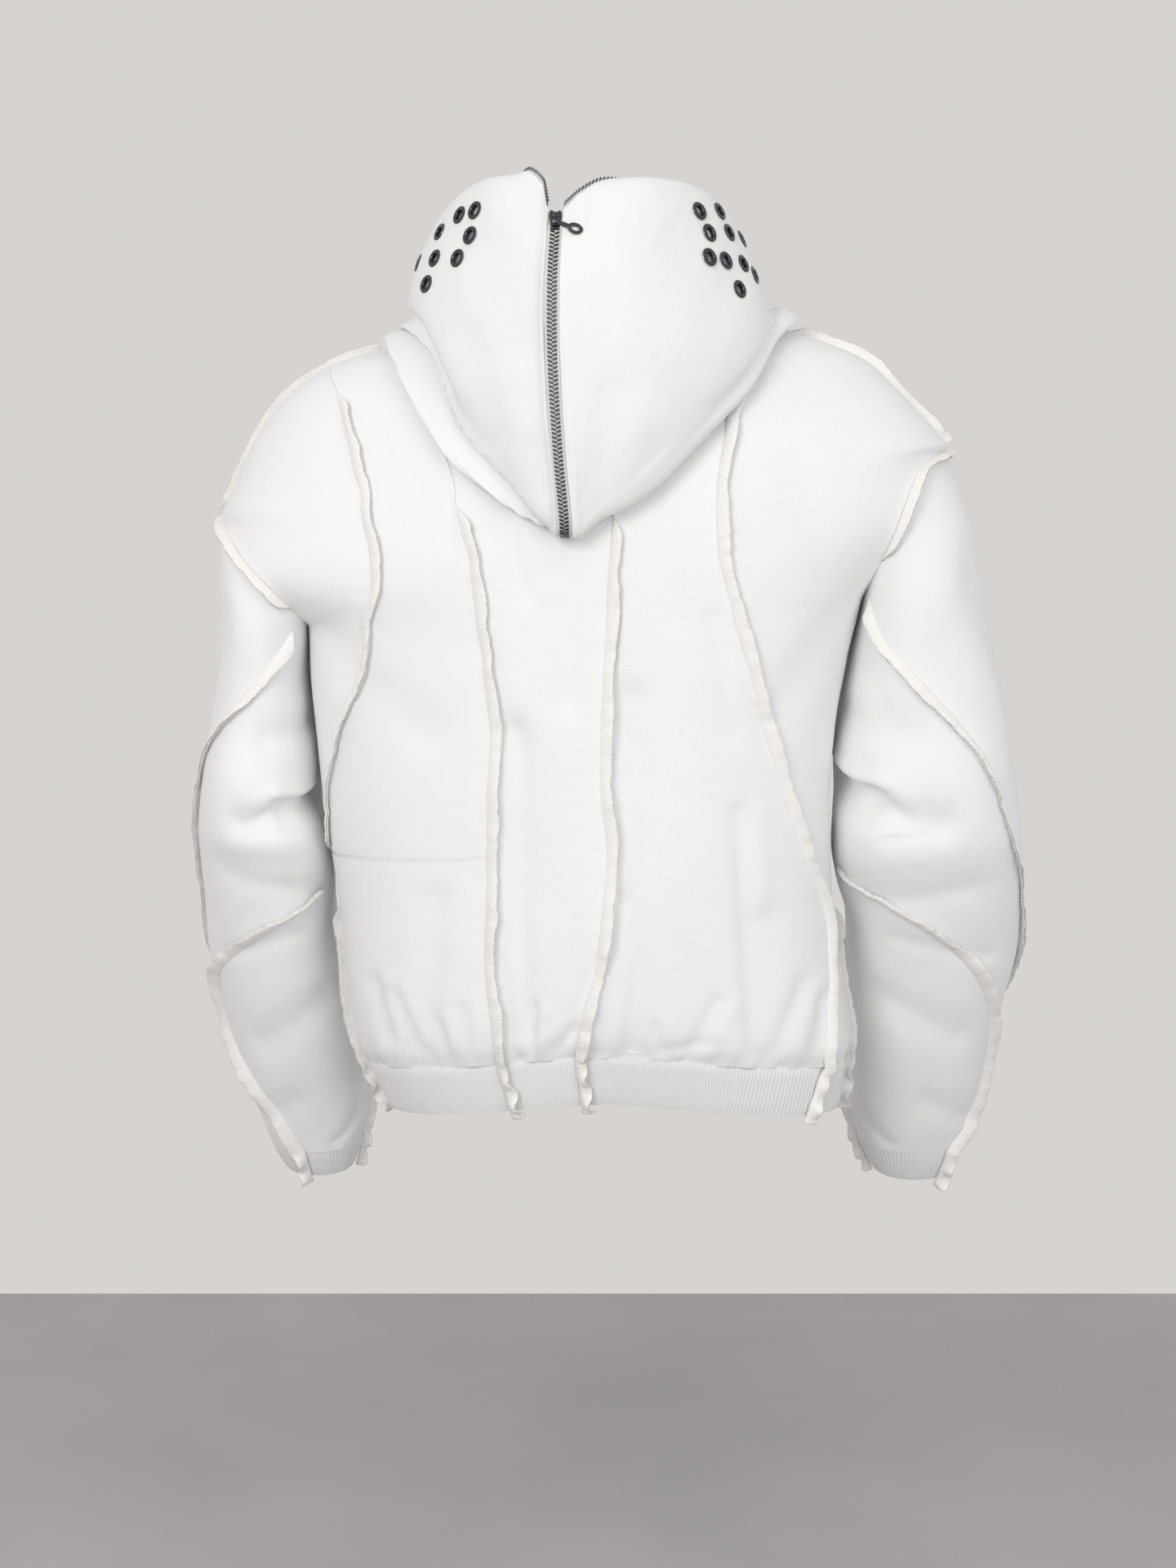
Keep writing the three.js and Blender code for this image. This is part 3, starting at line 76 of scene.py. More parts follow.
# %% Tables
# Body rows from the top of the hem rib to the neck. l and r are the left and right edge (side seam,
# armhole, shoulder seam), b the middle of the back, f of the front, and power the roundness.
LX, LY, LZ, RX, RY, RZ, BY, BZ, FY, FZ, POWER = range(11)
TORSO = np.array([
    [208, 0, -627, 216, 0, -627, 122, -602, 112, -640, 2.5],
    [216, 0, -612, 219, 0, -612, 131, -585, 120, -618, 2.5],
    [221, 0, -583, 214, 0, -585, 135, -560, 124, -590, 2.5],
    [226, 0, -540, 208, 0, -540, 136, -522, 127, -545, 2.5],
    [230, 0, -490, 203, 0, -490, 136, -475, 130, -495, 2.5],
    [237, 0, -440, 200, 0, -440, 135, -428, 131, -443, 2.5],
    [244, 0, -390, 199, 0, -390, 134, -380, 131, -393, 2.5],
    [249, 0, -335, 203, 0, -335, 133, -328, 130, -338, 2.5],
    [253, 0, -290, 210, 0, -285, 133, -282, 129, -292, 2.5],
    [254, 0, -253, 222, 0, -236, 133, -245, 128, -252, 2.5],
    [256, 50, -238, 228, 54, -206, 133, -222, 127, -233, 2.5],
    [272, 76, -219, 242, 78, -172, 132, -199, 126, -216, 2.5],
    [291, 76, -200, 253, 78, -142, 131, -175, 125, -200, 2.5],
    [308, 60, -181, 266, 62, -115, 129, -152, 123, -185, 2.5],
    [321, 34, -163, 285, 36, -100, 126, -130, 121, -171, 2.4],
    [328, 0, -150, 298, 0, -92, 122, -108, 118, -158, 2.4],
    [318, 0, -128, 290, 0, -82, 115, -88, 113, -146, 2.3],
    [300, 0, -88, 276, 0, -66, 107, -70, 108, -135, 2.3],
    [272, 0, -50, 252, 0, -42, 97, -52, 102, -124, 2.3],
    [235, 0, -24, 226, 0, -18, 86, -36, 96, -113, 2.2],
    [192, 0, -10, 188, 0, -2, 76, -22, 89, -101, 2.2],
    [145, 0, 0, 142, 0, 12, 66, -10, 82, -88, 2.2],
    [96, 0, 10, 96, 0, 22, 56, 0, 74, -74, 2.2],
])
LAST_ROW = 22
ARM_LOW = 9
ARM_TOP = 15

# Folds as x0, z0, x1, z1, half width, depth. The broad ones are those of the solids.
BACK_FOLDS = np.array([
    [74, -330, 70, -575, 15, 6], [-24, -300, -27, -590, 13, 5], [-134, -490, -140, -600, 13, 5],
    [140, -470, 150, -600, 14, 4], [228, -262, 150, -330, 20, 4], [-196, -240, -140, -320, 20, 4],
    [40, -200, 30, -300, 16, 3],
])
FRONT_FOLDS = np.array([
    [210, -262, 140, -330, 20, 5], [-190, -245, -130, -320, 20, 5], [110, -420, 120, -600, 16, 5],
    [-100, -400, -115, -600, 16, 5], [55, -480, 50, -610, 13, 4],
])
BACK_CREASES = np.array([
    [194, -545, 182, -590, 7, 3.2], [176, -552, 160, -598, 6, 3], [140, -575, 128, -604, 6, 2.4],
    [117, -562, 115, -600, 7, 2.6], [88, -520, 81, -596, 7, 2.8], [58, -559, 65, -600, 6, 3],
    [38, -592, 12, -569, 6, 2.4], [-9, -351, -15, -466, 9, 2.6], [-15, -466, 2, -596, 8, 3.4],
    [4, -521, 26, -578, 7, 2.6], [-45, -575, -52, -603, 6, 2.2], [-97, -555, -76, -598, 7, 2.8],
    [-89, -590, -52, -594, 5, 2], [-114, -398, -127, -600, 9, 3.2], [-171, -545, -150, -598, 8, 3],
    [-188, -560, -184, -602, 6, 2.4], [120, -60, 128, -170, 9, 2], [82, -150, 66, -215, 10, 3.4],
    [96, -260, 80, -330, 12, 2], [-6, -232, -12, -330, 9, 1.8], [-92, -236, -108, -330, 11, 2],
    [-40, -140, -60, -232, 14, 1.6], [60, -340, 48, -470, 18, 1.6], [-160, -120, -186, -200, 16, 2.2],
])
FRONT_CREASES = np.array([
    [186, -560, 172, -612, 7, 2.6], [146, -575, 138, -622, 7, 2.4], [84, -590, 96, -634, 7, 2.4],
    [36, -596, 28, -640, 6, 2], [-44, -590, -34, -638, 7, 2.2], [-86, -560, -98, -630, 8, 2.6],
    [-150, -560, -142, -622, 7, 2.4], [-190, -566, -180, -610, 7, 2.4], [150, -180, 108, -260, 16, 2.4],
    [-146, -180, -104, -262, 16, 2.4], [70, -330, 58, -480, 16, 1.8], [-66, -300, -58, -470, 16, 1.8],
])

# Seams of the back: the x at which each crosses the body rows, from its first row on.
SEAM_FIRST = {"s1": 5, "s2": 0, "s3": 0, "s4": 0}
SEAM_X = {
    "s1": np.array([235.5, 235, 226, 207, 196, 194, 190, 191, 193, 197, 201, 205, 212, 220, 228, 190.5]),
    "s2": np.array([88, 91, 93, 97, 96, 95, 94, 92, 97, 101, 103, 106, 108, 114, 119, 123, 128, 133, 136, 130,
                    114, 92, 66]),
    "s3": np.array([22, 20, 15, 5, 0, -4, 1, 1, -1, -3, -4, -5, -7, -8, -8, -8, -9, -8, -9, -9, -9, -9, -10]),
    "s4": np.array([-188, -190, -192, -194, -189, -169, -152, -136, -121, -109, -103, -96, -94, -93, -94, -97,
                    -99, -101, -114, -128, -137, -140.5]),
}

# Sleeve rings from the armhole to the cuff: outer and inner point, back and front reach, dip to the back.
OX, OZ, IX, IZ, BACK, FRONT, DIP = range(7)
RINGS = {
    "left": np.array([
        [328, -150, 254, -253, 76, -76, 0], [331, -202, 256, -290, 78, -96, 0],
        [335, -262, 253, -330, 77, -100, 0], [341, -318, 250, -365, 78, -100, 0],
        [349, -368, 246, -405, 85, -96, 0], [354, -414, 241, -440, 80, -98, 0.02],
        [355, -455, 239, -468, 58, -108, 0.05], [355, -492, 240, -498, 42, -118, 0.08],
        [355, -524, 240, -527, 28, -128, 0.1], [353, -556, 235, -558, 14, -137, 0.12],
        [348, -600, 228, -601, -5, -147, 0.14], [338, -650, 221, -650, -26, -157, 0.15],
        [322, -700, 218, -700, -50, -160, 0.15], [311, -729, 225, -729, -62, -150, 0.15],
    ]),
    "right": np.array([
        [298, -92, 222, -236, 78, -78, 0], [318, -160, 217, -272, 85, -92, 0],
        [335, -230, 209, -320, 85, -94, 0], [350, -298, 204, -368, 87, -92, 0],
        [361, -362, 203, -410, 91, -88, 0], [369, -418, 204, -445, 85, -94, 0.02],
        [374, -460, 211, -476, 63, -104, 0.05], [376, -495, 220, -503, 46, -114, 0.08],
        [376, -526, 223, -530, 31, -124, 0.1], [374, -556, 225, -560, 17, -133, 0.12],
        [367, -600, 228, -603, -2, -144, 0.14], [360, -650, 230, -651, -24, -156, 0.15],
        [353, -700, 234, -701, -48, -158, 0.15], [347, -729, 242, -730, -62, -150, 0.15],
    ]),
}
CUFFS = {
    "left": np.array([298, -757, 233, -757, -78, -150, 0.15]),
    "right": np.array([331, -762, 258, -762, -80, -152, 0.15]),
}
SLEEVE_END = 13
# Where the long sleeve seams cross each ring, in 24ths of a turn from the outside over the back.
TURN_A = {
    "left": np.array([10, 8, 5.9, 3.5, 1.6, 0.8, 0.3, 0, -0.4, -1.2, -2.4, -3.6, -4.6, -5.2]),
    "right": np.array([10.5, 8.6, 6.7, 4.9, 3.5, 2.7, 2, 1.4, 0.9, 0, -1.4, -2.8, -4, -4.8]),
}
TURN_B = {
    "left": np.array([12, 12, 12, 12, 12, 12, 11.4, 7.4, 4.5, 2.5, 2.2, 3.4, 4.7, 5.5]),
    "right": np.array([12, 12, 12, 12, 12, 11.6, 9.3, 7, 5.3, 4.1, 2.9, 2.4, 2.8, 4]),
}
B_START = {"left": 6, "right": 5}
# Sleeve folds as turn and ring at both ends, half width and depth.
SLEEVE_FOLDS = {
    "left": np.array([
        [11, 2, 7, 2.8, 14, 5], [11.5, 3.7, 5.5, 4.6, 14, 8], [3, 1.4, 1, 2.6, 16, 4],
        [-10, 4.2, -4, 5.2, 15, 7], [-9, 5.6, -3, 6.4, 15, 6], [9, 9.4, 5, 10.2, 16, 4],
        [10, 6.2, 5, 5.9, 12, 2], [9, 5.2, 4, 5.6, 14, 2],
        [8, 7.4, 4, 8, 12, 2], [-2, 7.2, -7, 8, 13, 3], [6, 11.4, 2, 12, 11, 2.5],
        [10, 11.8, 8, 12.6, 10, 2.5],
        [-8, 10, -3, 10.8, 15, 3.5], [-10, 11.8, -6, 12.6, 11, 3], [0, 9, -1, 10.4, 12, 2],
    ]),
    "right": np.array([
        [11, 2, 7, 2.9, 14, 5], [11.5, 3.4, 6, 4.5, 14, 8], [3, 1.4, 1, 2.8, 16, 4],
        [-10, 4.2, -4, 5.2, 15, 7], [-9, 5.6, -3, 6.4, 15, 6], [9, 9.2, 5, 10, 16, 4],
        [10, 6.3, 5, 6, 12, 2], [9.5, 1.2, 8, 2.4, 12, 2.5],
        [8, 7.4, 4, 8, 12, 2], [-2, 7.2, -7, 8, 13, 3], [6, 11.4, 2, 12, 11, 2.5],
        [10, 11.8, 8, 12.6, 10, 2.5],
        [-8, 10, -3, 10.8, 15, 3.5], [-10, 11.8, -6, 12.6, 11, 3], [1, 3.4, 0, 5, 14, 2.5],
    ]),
}
# Sharp overhanging creases at the elbows: turn and ring at both ends, the width above and below the
# crease, and its depth at both ends.
SLEEVE_CREASES = {
    "left": np.array([[11.8, 3.62, 8, 3.95, 2.4, 26, 7, 6], [8, 3.95, 5.5, 4.7, 3, 20, 6, 0]]),
    "right": np.array([
        [11.9, 2.9, 8.6, 3.62, 2.4, 26, 7, 6], [8.6, 3.62, 6.9, 4.5, 3, 18, 6, 0.5],
        [7.9, 4.6, 6.6, 4.67, 3, 9, 2, 0.5],
    ]),
}
TURN_MM = 18
RING_MM = 44

# Hood columns round its axis: azimuth, the body row over which it folds under, how far the fold stands
# off, how far the under layer peeps out, then radius and height of its belly, top and rim.
AZ, FOLD, OFF, FLAP, BELLY_R, BELLY_Z, TOP_R, TOP_Z, RIM_R, RIM_Z = range(10)
HOOD_AXIS = np.array([5.0, 10.0])
HOOD = {
    "left": np.array([
        [12, 12.3, 27, 0, 168, -30, 158, 71, 155, 85], [17, 12.6, 27, 0, 168, -28, 152, 92, 145, 106],
        [24, 13.2, 27, 0.3, 168, -22, 145, 108, 136, 118], [34, 14.6, 26, 0.9, 168, -12, 138, 116, 122, 116],
        [48, 16.5, 25, 1.1, 168, 2, 132, 115, 112, 112], [62, 18.6, 24, 1.1, 168, 20, 130, 108, 110, 104],
        [76, 19.9, 22, 0.6, 161, 33, 129, 98, 108, 93], [86, 20.35, 17, 0.2, 155, 36, 126, 92, 107, 87],
        [95, 20.6, 15, 0, 149, 36, 122, 82, 104, 78], [113, 20.8, 14, 0, 137, 25, 113, 58, 98, 54],
        [135, 21, 12, 0, 119, 0, 104, 19, 97, 26], [157, 21.2, 10, 0, 101, -36, 94, -18, 90, -7],
        [179, 21.4, 9, 0, 94, -62, 92, -44, 90, -26],
    ]),
    "right": np.array([
        [12, 12.3, 27, 0, 168, -30, 158, 71, 155, 85], [6, 12.3, 27, 0, 168, -28, 153, 83, 147, 96],
        [-2, 12.8, 27, 0, 168, -24, 150, 100, 141, 108], [-14, 13.3, 26, 0, 168, -18, 144, 110, 132, 111],
        [-27, 14.2, 25, 0, 167, -10, 136, 112, 120, 108], [-41, 15.7, 24, 0, 165, -2, 128, 110, 110, 104],
        [-56, 17.6, 22, 0, 162, 8, 120, 104, 103, 98], [-72, 19.6, 18, 0, 152, 16, 114, 94, 98, 88],
        [-84, 20.35, 15, 0, 143, 22, 112, 84, 98, 80], [-94, 20.6, 13, 0, 140, 22, 111, 72, 98, 69],
        [-110, 20.8, 12, 0, 134, 17, 109, 54, 96, 50], [-130, 21, 12, 0, 119, 0, 104, 19, 97, 26],
        [-152, 21.2, 10, 0, 103, -35, 95, -17, 91, -6], [-172.5, 21.4, 9, 0, 94, -62, 92, -44, 90, -26],
    ]),
}
ZIP_HALF = 6.1
# Eyelets as hood column and share of its length.
EYELETS = {
    "left": [(4.1, 0.885), (3.55, 0.895), (4.8, 0.85), (3.55, 0.85), (4.6, 0.795), (3.8, 0.805), (4.65, 0.74),
             (5.6, 0.755)],
    "right": [(4.55, 0.885), (4.75, 0.835), (4.6, 0.785), (5.4, 0.885), (5.55, 0.83), (6.33, 0.812),
              (5.1, 0.765), (5.75, 0.745), (5.35, 0.69), (6.2, 0.7)],
}

# %% [markdown]
# ## From a grid of points to a piece of cloth
#
# A sheet with a solidify modifier would need its holes and edges closed again. Each piece is built closed
# straight away: an outer grid, the same grid moved in by the cloth's thickness, and a wall round every
# open edge, which also lines the holes for the eyelets.

# %% Mesh helpers
def unit(vectors):
    """Each vector divided by its own length."""
    return vectors / np.maximum(np.linalg.norm(vectors, axis=-1, keepdims=True), 1e-9)


def smooth_read(rows, v):
    """Rows read between them by a Catmull-Rom curve through them, carried on straight at the ends."""
    rows = np.asarray(rows, float)
    v = np.asarray(v, float)
    carried = np.concatenate([2 * rows[:1] - rows[1:2], rows, 2 * rows[-1:] - rows[-2:-1]])
    i = np.clip(np.floor(v).astype(int), 0, len(rows) - 2)
    f = (v - i).reshape(v.shape + (1,) * (rows.ndim - 1))
    a, b, c, d = (carried[i + k] for k in range(4))
    return 0.5 * (2 * b + (c - a) * f + (2 * a - 5 * b + 4 * c - d) * f**2 + (3 * b - a - 3 * c + d) * f**3)


def make_mesh(name, points, faces, material, uv=None, crisp=50):
    """An object from points in millimetres and faces of corner numbers. Edges sharper than crisp stay so."""
    used, faces = np.unique(faces, return_inverse=True)
    faces = faces.reshape(-1, 4) if faces.ndim == 1 else faces
    mesh = bpy.data.meshes.new(name)
    mesh.from_pydata((points[used] * MM).tolist(), [], faces.tolist())
    mesh.polygons.foreach_set("use_smooth", np.ones(len(faces), bool))
    if uv is not None:
        corners = uv[used][faces.reshape(-1)] * MM
        mesh.uv_layers.new(name="cloth").data.foreach_set("uv", corners.reshape(-1).astype(np.float32))
    mesh.set_sharp_from_angle(angle=math.radians(crisp))
    mesh.materials.append(material)
    piece = bpy.data.objects.new(name, mesh)
    bpy.context.scene.collection.objects.link(piece)
    return piece


def outward(grid, wrap, inside):
    """Unit normals of a grid, from the cross product of its two directions, turned away from inside."""
    if wrap:
        across = np.roll(grid, -1, 1) - np.roll(grid, 1, 1)
    else:
        across = np.gradient(grid, axis=1)
    normals = unit(np.cross(across, np.gradient(grid, axis=0)))
    if np.sum(normals * (grid - inside)) < 0:
        normals = -normals
    return normals


def running_length(grid, axis):
    """Length walked along one direction of a grid."""
    steps = np.linalg.norm(np.diff(grid, axis=axis), axis=-1)
    pad = [(0, 0), (0, 0)]
    pad[axis] = (1, 0)
    return np.cumsum(np.pad(steps, pad), axis=axis)


def cloth_wall(name, grid, normals, thick, material, wrap=False, keep=None):
    """Closed cloth: the outer grid, the grid moved in by thick, and walls round each open edge."""
    rows, cols = grid.shape[:2]
    count = rows * cols
    points = np.concatenate([grid.reshape(-1, 3), (grid - normals * thick).reshape(-1, 3)])
    index = np.arange(count).reshape(rows, cols)
    if wrap:
        index = np.concatenate([index, index[:, :1]], axis=1)
    quads = np.stack([index[:-1, :-1], index[:-1, 1:], index[1:, 1:], index[1:, :-1]], -1).reshape(-1, 4)
    if keep is not None:
        quads = quads[keep.reshape(-1)]
    corner = points[quads]
    facing = np.cross(corner[:, 2] - corner[:, 0], corner[:, 3] - corner[:, 1])
    flat_normals = np.concatenate([normals.reshape(-1, 3), normals.reshape(-1, 3)])
    if np.sum(facing * flat_normals[quads[:, 0]]) < 0:
        quads = quads[:, ::-1]
    starts = quads.reshape(-1)
    ends = np.roll(quads, -1, axis=1).reshape(-1)
    open_edge = ~np.isin(starts * count + ends, ends * count + starts)
    a, b = starts[open_edge], ends[open_edge]
    walls = np.stack([b, a, a + count, b + count], -1)
    faces = np.concatenate([quads, quads[:, ::-1] + count, walls])
    u = running_length(grid, 1)
    v = running_length(grid, 0)
    uv = np.stack([u, v], -1).reshape(-1, 2)
    area = 0.5 * np.linalg.norm(facing, axis=1).sum()
    print(f"{name}: {len(faces) * 2} triangles, up to {u[:, -1].max():.0f} x {v[-1].max():.0f} mm,"
          f" {area * 1e-6:.4f} m2")
    return make_mesh(name, points, faces, material, np.concatenate([uv, uv]))


def stand_for(piece, slot, *nodes):
    """The piece rides on the hoodie and is shown in place of the named solids."""
    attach(piece, "hoodie")
    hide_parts(*nodes)


# %% [markdown]
# ## Materials
#
# White loopback jersey is matt, with a fine diagonal grain from its stitches and a slight fuzz at grazing
# angles. An image would repeat, so the grain is one slanting wave in the cloth's own coordinates, shaken
# by noise. The raw edges are warmer and rougher, with the zigzag of the overlock thread. The metal is a
# polished gunmetal.

# %% Materials
def linear(hex_colour):
    """A screen colour such as f3f3f4 as the linear colour that shaders use."""
    parts = [int(hex_colour[i:i + 2], 16) / 255 for i in (0, 2, 4)]
    return [p / 12.92 if p <= 0.04045 else ((p + 0.055) / 1.055) ** 2.4 for p in parts] + [1.0]


def add_node(tree, kind, links=(), **inputs):
    """One shader node with its inputs set and linked; links are (input name, node, output name)."""
    node = tree.nodes.new(kind)
    for key, value in inputs.items():
        if key in node.inputs:
            node.inputs[key].default_value = value
        else:
            setattr(node, key, value)
    for socket, source, output in links:
        tree.links.new(source.outputs[output], node.inputs[socket])
    return node


def new_material(name, colour, rough, metal=0.0, fuzz=0.0):
    """A named material with its main shader."""
    material = bpy.data.materials.new(name)
    material.use_nodes = True
    shader = material.node_tree.nodes["Principled BSDF"]
    shader.inputs["Base Color"].default_value = linear(colour)
    shader.inputs["Roughness"].default_value = rough
    shader.inputs["Metallic"].default_value = metal
    shader.inputs["Sheen Weight"].default_value = fuzz
    shader.inputs["Sheen Roughness"].default_value = 0.6
    material.diffuse_color = linear(colour)
    return material, material.node_tree, shader


WAVE_SCALE = 0.314


def knit_material(name, colour, stitch_mm, grain, crumple, angle):
    """Cloth whose grain is a slanting wave of one stitch, shaken by noise, over a soft uneven hand."""
    material, tree, shader = new_material(name, colour, 0.93, fuzz=0.12)
    uv = add_node(tree, "ShaderNodeUVMap", uv_map="cloth")
    turned = add_node(tree, "ShaderNodeMapping", [("Vector", uv, "UV")], Rotation=(0, 0, math.radians(angle)))
    stitches = add_node(tree, "ShaderNodeTexWave", [("Vector", turned, "Vector")],
                        Scale=WAVE_SCALE / (stitch_mm * MM), Distortion=1.6, Detail=1.0)
    slubs = add_node(tree, "ShaderNodeTexNoise", [("Vector", uv, "UV")], Scale=900.0, Detail=2.0)
    hand = add_node(tree, "ShaderNodeTexNoise", [("Vector", uv, "UV")], Scale=26.0, Detail=3.0)
    fine = add_node(tree, "ShaderNodeBump", [("Height", stitches, "Fac")], Strength=grain, Distance=0.0003)
    rough = add_node(tree, "ShaderNodeBump", [("Height", slubs, "Fac"), ("Normal", fine, "Normal")],
                     Strength=grain, Distance=0.0003)
    soft = add_node(tree, "ShaderNodeBump", [("Height", hand, "Fac"), ("Normal", rough, "Normal")],
                    Strength=crumple, Distance=0.004)
    tree.links.new(soft.outputs["Normal"], shader.inputs["Normal"])
    return material


def overlock_material(name, colour):
    """A raw edge: thread that wraps the edge in slanting stitches, over a fuzzy cut."""
    thread_mm, slant = 1.9, math.radians(24)
    material, tree, shader = new_material(name, colour, 0.95, fuzz=0.2)
    uv = add_node(tree, "ShaderNodeUVMap", uv_map="cloth")
    turned = add_node(tree, "ShaderNodeMapping", [("Vector", uv, "UV")], Rotation=(0, 0, slant))
    thread = add_node(tree, "ShaderNodeTexWave", [("Vector", turned, "Vector")],
                      Scale=WAVE_SCALE / (thread_mm * MM), Distortion=2.2, Detail=1.0)
    fuzz = add_node(tree, "ShaderNodeTexNoise", [("Vector", uv, "UV")], Scale=700.0, Detail=3.0)
    wraps = add_node(tree, "ShaderNodeBump", [("Height", thread, "Fac")], Strength=0.5, Distance=0.0006)
    cut = add_node(tree, "ShaderNodeBump", [("Height", fuzz, "Fac"), ("Normal", wraps, "Normal")],
                   Strength=0.6, Distance=0.0006)
    tree.links.new(cut.outputs["Normal"], shader.inputs["Normal"])
    return material


jersey = knit_material("loopback_jersey", "f5f5f6", 1.1, 0.35, 0.25, 38)
rib_yarn = knit_material("rib_knit_cotton", "efefef", 0.9, 0.4, 0.15, 0)
overlocked = overlock_material("overlocked_raw_edge", "f9f8f5")
zip_tape = knit_material("woven_zip_tape", "dedede", 0.6, 0.3, 0.0, 90)
gunmetal, _, _ = new_material("polished_gunmetal", "55555a", 0.22, metal=1.0)
tooth_metal, _, _ = new_material("zip_tooth_gunmetal", "6a6a6e", 0.3, metal=1.0)
print("materials:", len(bpy.data.materials))

# %% [markdown]
# ## The body's surface
#
# Each row is a superellipse whose left and right halves end at the garment's edges. Folds are lines pressed
# in with a soft bell-shaped profile and a low ridge beside them, as cloth piles up next to a crease. Near
# each seam the cloth rises into the seam and puckers a little, and above the rib it is gathered.

# %% Body functions
def pressed(lines, x, z, ridge=0.0):
    """Depth of folds at x, z: each falls off as a bell from its line, with a share of it raised beside."""
    depth = np.zeros(np.broadcast(x, z).shape)
    for x0, z0, x1, z1, wide, deep in lines:
        dx, dz = x1 - x0, z1 - z0
        along = (x - x0) * dx + (z - z0) * dz
        t = np.clip(along / (dx * dx + dz * dz), 0, 1)
        ax, az = x - x0 - t * dx, z - z0 - t * dz
        away = np.hypot(ax, az) / wide
        side = (ax * dz - az * dx) / math.hypot(dx, dz) / wide
        beyond = np.maximum(away**2 - side**2, 0)
        depth += deep * (np.exp(-away**2) - ridge * np.exp(-beyond - (side - 1.7) ** 2))
    return depth


def torso_row(left, back, v):
    """Roundness, depth, half width, edge and middle height of the body row v on one of its quarters."""
    row = smooth_read(TORSO, v)
    power = row[..., POWER]
    depth = np.where(back, row[..., BY], row[..., FY])
    edge_x = np.where(left, row[..., LX], row[..., RX])
    edge_y = np.maximum(np.where(left, row[..., LY], row[..., RY]), 0)
    edge_z = np.where(left, row[..., LZ], row[..., RZ])
    half = edge_x / (1 - (edge_y / depth) ** power) ** (1 / power)
    middle_z = np.where(back, row[..., BZ], row[..., FZ])
    return power, depth, half, edge_x, edge_y, edge_z, middle_z


def seam_x(name, v):
    """The x at which a back seam crosses the body row v."""
    first = SEAM_FIRST[name]
    return smooth_read(SEAM_X[name], np.clip(v - first, 0, len(SEAM_X[name]) - 1))


def seam_rise(x, z, v):
    """How the cloth rises and puckers beside each back seam, fading within two fingers of it."""
    rise = np.zeros(x.shape)
    for k, name in enumerate(SEAM_X):
        first = SEAM_FIRST[name]
        there = (v >= first) & (v <= first + len(SEAM_X[name]) - 1)
        away = x - seam_x(name, v)
        pucker = np.sin(z / 3.1 + 2.1 * np.sin(z / 11 + k) + k) + 0.6 * np.sin(z / 7.7 + k)
        rise += there * (0.9 * np.exp(-(away / 3.5) ** 2) + 0.3 * pucker * np.exp(-(away / 11) ** 2))
    return rise


def torso_form(c, s, v):
    """Radius, height and share of the way in from the edges, without folds, at a direction c, s on a row."""
    power, depth, half, edge_x, edge_y, edge_z, middle_z = torso_row(c >= 0, s >= 0, v)
    r = ((np.abs(c) / half) ** power + (np.abs(s) / depth) ** power) ** (-1 / power)
    edge = np.sin(np.arctan2(edge_y, edge_x))
    w = np.clip((np.abs(s) - edge) / (1 - edge), 0, 1) ** 1.5
    return r, edge_z + (middle_z - edge_z) * w, w


# The rows averaged into one where the corner of the armhole has to fade out, each with its share.
BLUR = ((-1.0, 0.1), (-0.5, 0.25), (0.0, 0.3), (0.5, 0.25), (1.0, 0.1))
BLUR_ROWS = 2.4
ARMHOLE_ROW = 13


def torso(phi, v, fine=False):
    """A point of the body. phi is 0 at the left side, 90 at the back, 180 at the right and 270 in front."""
    phi, v = np.broadcast_arrays(np.asarray(phi, float), np.asarray(v, float))
    c, s = np.cos(np.radians(phi)), np.sin(np.radians(phi))
    back = s >= 0
    w = torso_form(c, s, v)[2]
    spread = BLUR_ROWS * np.minimum(w * 4, 1) * np.exp(-(((v - ARMHOLE_ROW) / 4) ** 2))
    r, z = 0, 0
    for rows_off, share in BLUR:
        near_r, near_z, _ = torso_form(c, s, v + rows_off * spread)
        r, z = r + share * near_r, z + share * near_z
    inside = np.minimum(w * 6, 1)
    hem_z = -627 + (np.where(back, -602, -640) + 627) * w
    x = r * c
    r = r - inside * np.where(back, pressed(BACK_FOLDS, x, z), pressed(FRONT_FOLDS, x, z))
    above = z - hem_z
    r = r + inside * 2 * np.sin(16 * np.radians(phi) + 2 * s) * np.exp(-above / 26)
    if fine:
        turn = np.radians(phi)
        creases = np.where(back, pressed(BACK_CREASES, x, z, 0.5), pressed(FRONT_CREASES, x, z, 0.5))
        gathers = (0.9 * np.sin(43 * turn + 3 * np.sin(5 * turn))
                   + 0.7 * np.sin(71 * turn + 2 * np.sin(9 * turn)))
        uneven = (0.7 * np.sin(x / 31 + z / 47) + 0.6 * np.sin(x / 19 - z / 83 + 1)
                  + 0.4 * np.sin(z / 29 + x / 61))
        r = r + inside * (uneven - creases + gathers * np.exp(-above / 13))
        r = r + np.where(back, inside * seam_rise(x, z, v), 0)
    return np.stack([r * c, r * s, z], -1)


def numeric_normal(surface, a, b, step_a, step_b):
    """Cross product of a surface's two directions, from small steps each way."""
    da = surface(a + step_a, b) - surface(a - step_a, b)
    db = surface(a, b + step_b) - surface(a, b - step_b)
    return unit(np.cross(da, db))


def torso_normal(phi, v):
    """Outward direction of the body."""
    v = np.clip(v, 0.05, LAST_ROW - 0.05)
    here = torso(phi, v)
    normal = numeric_normal(torso, phi, v, 0.5, 0.05)
    middle = np.stack([0 * here[..., 0], 0 * here[..., 0], np.minimum(here[..., 2], -150)], -1)
    return normal * np.where(np.sum(normal * (here - middle), -1, keepdims=True) < 0, -1, 1)


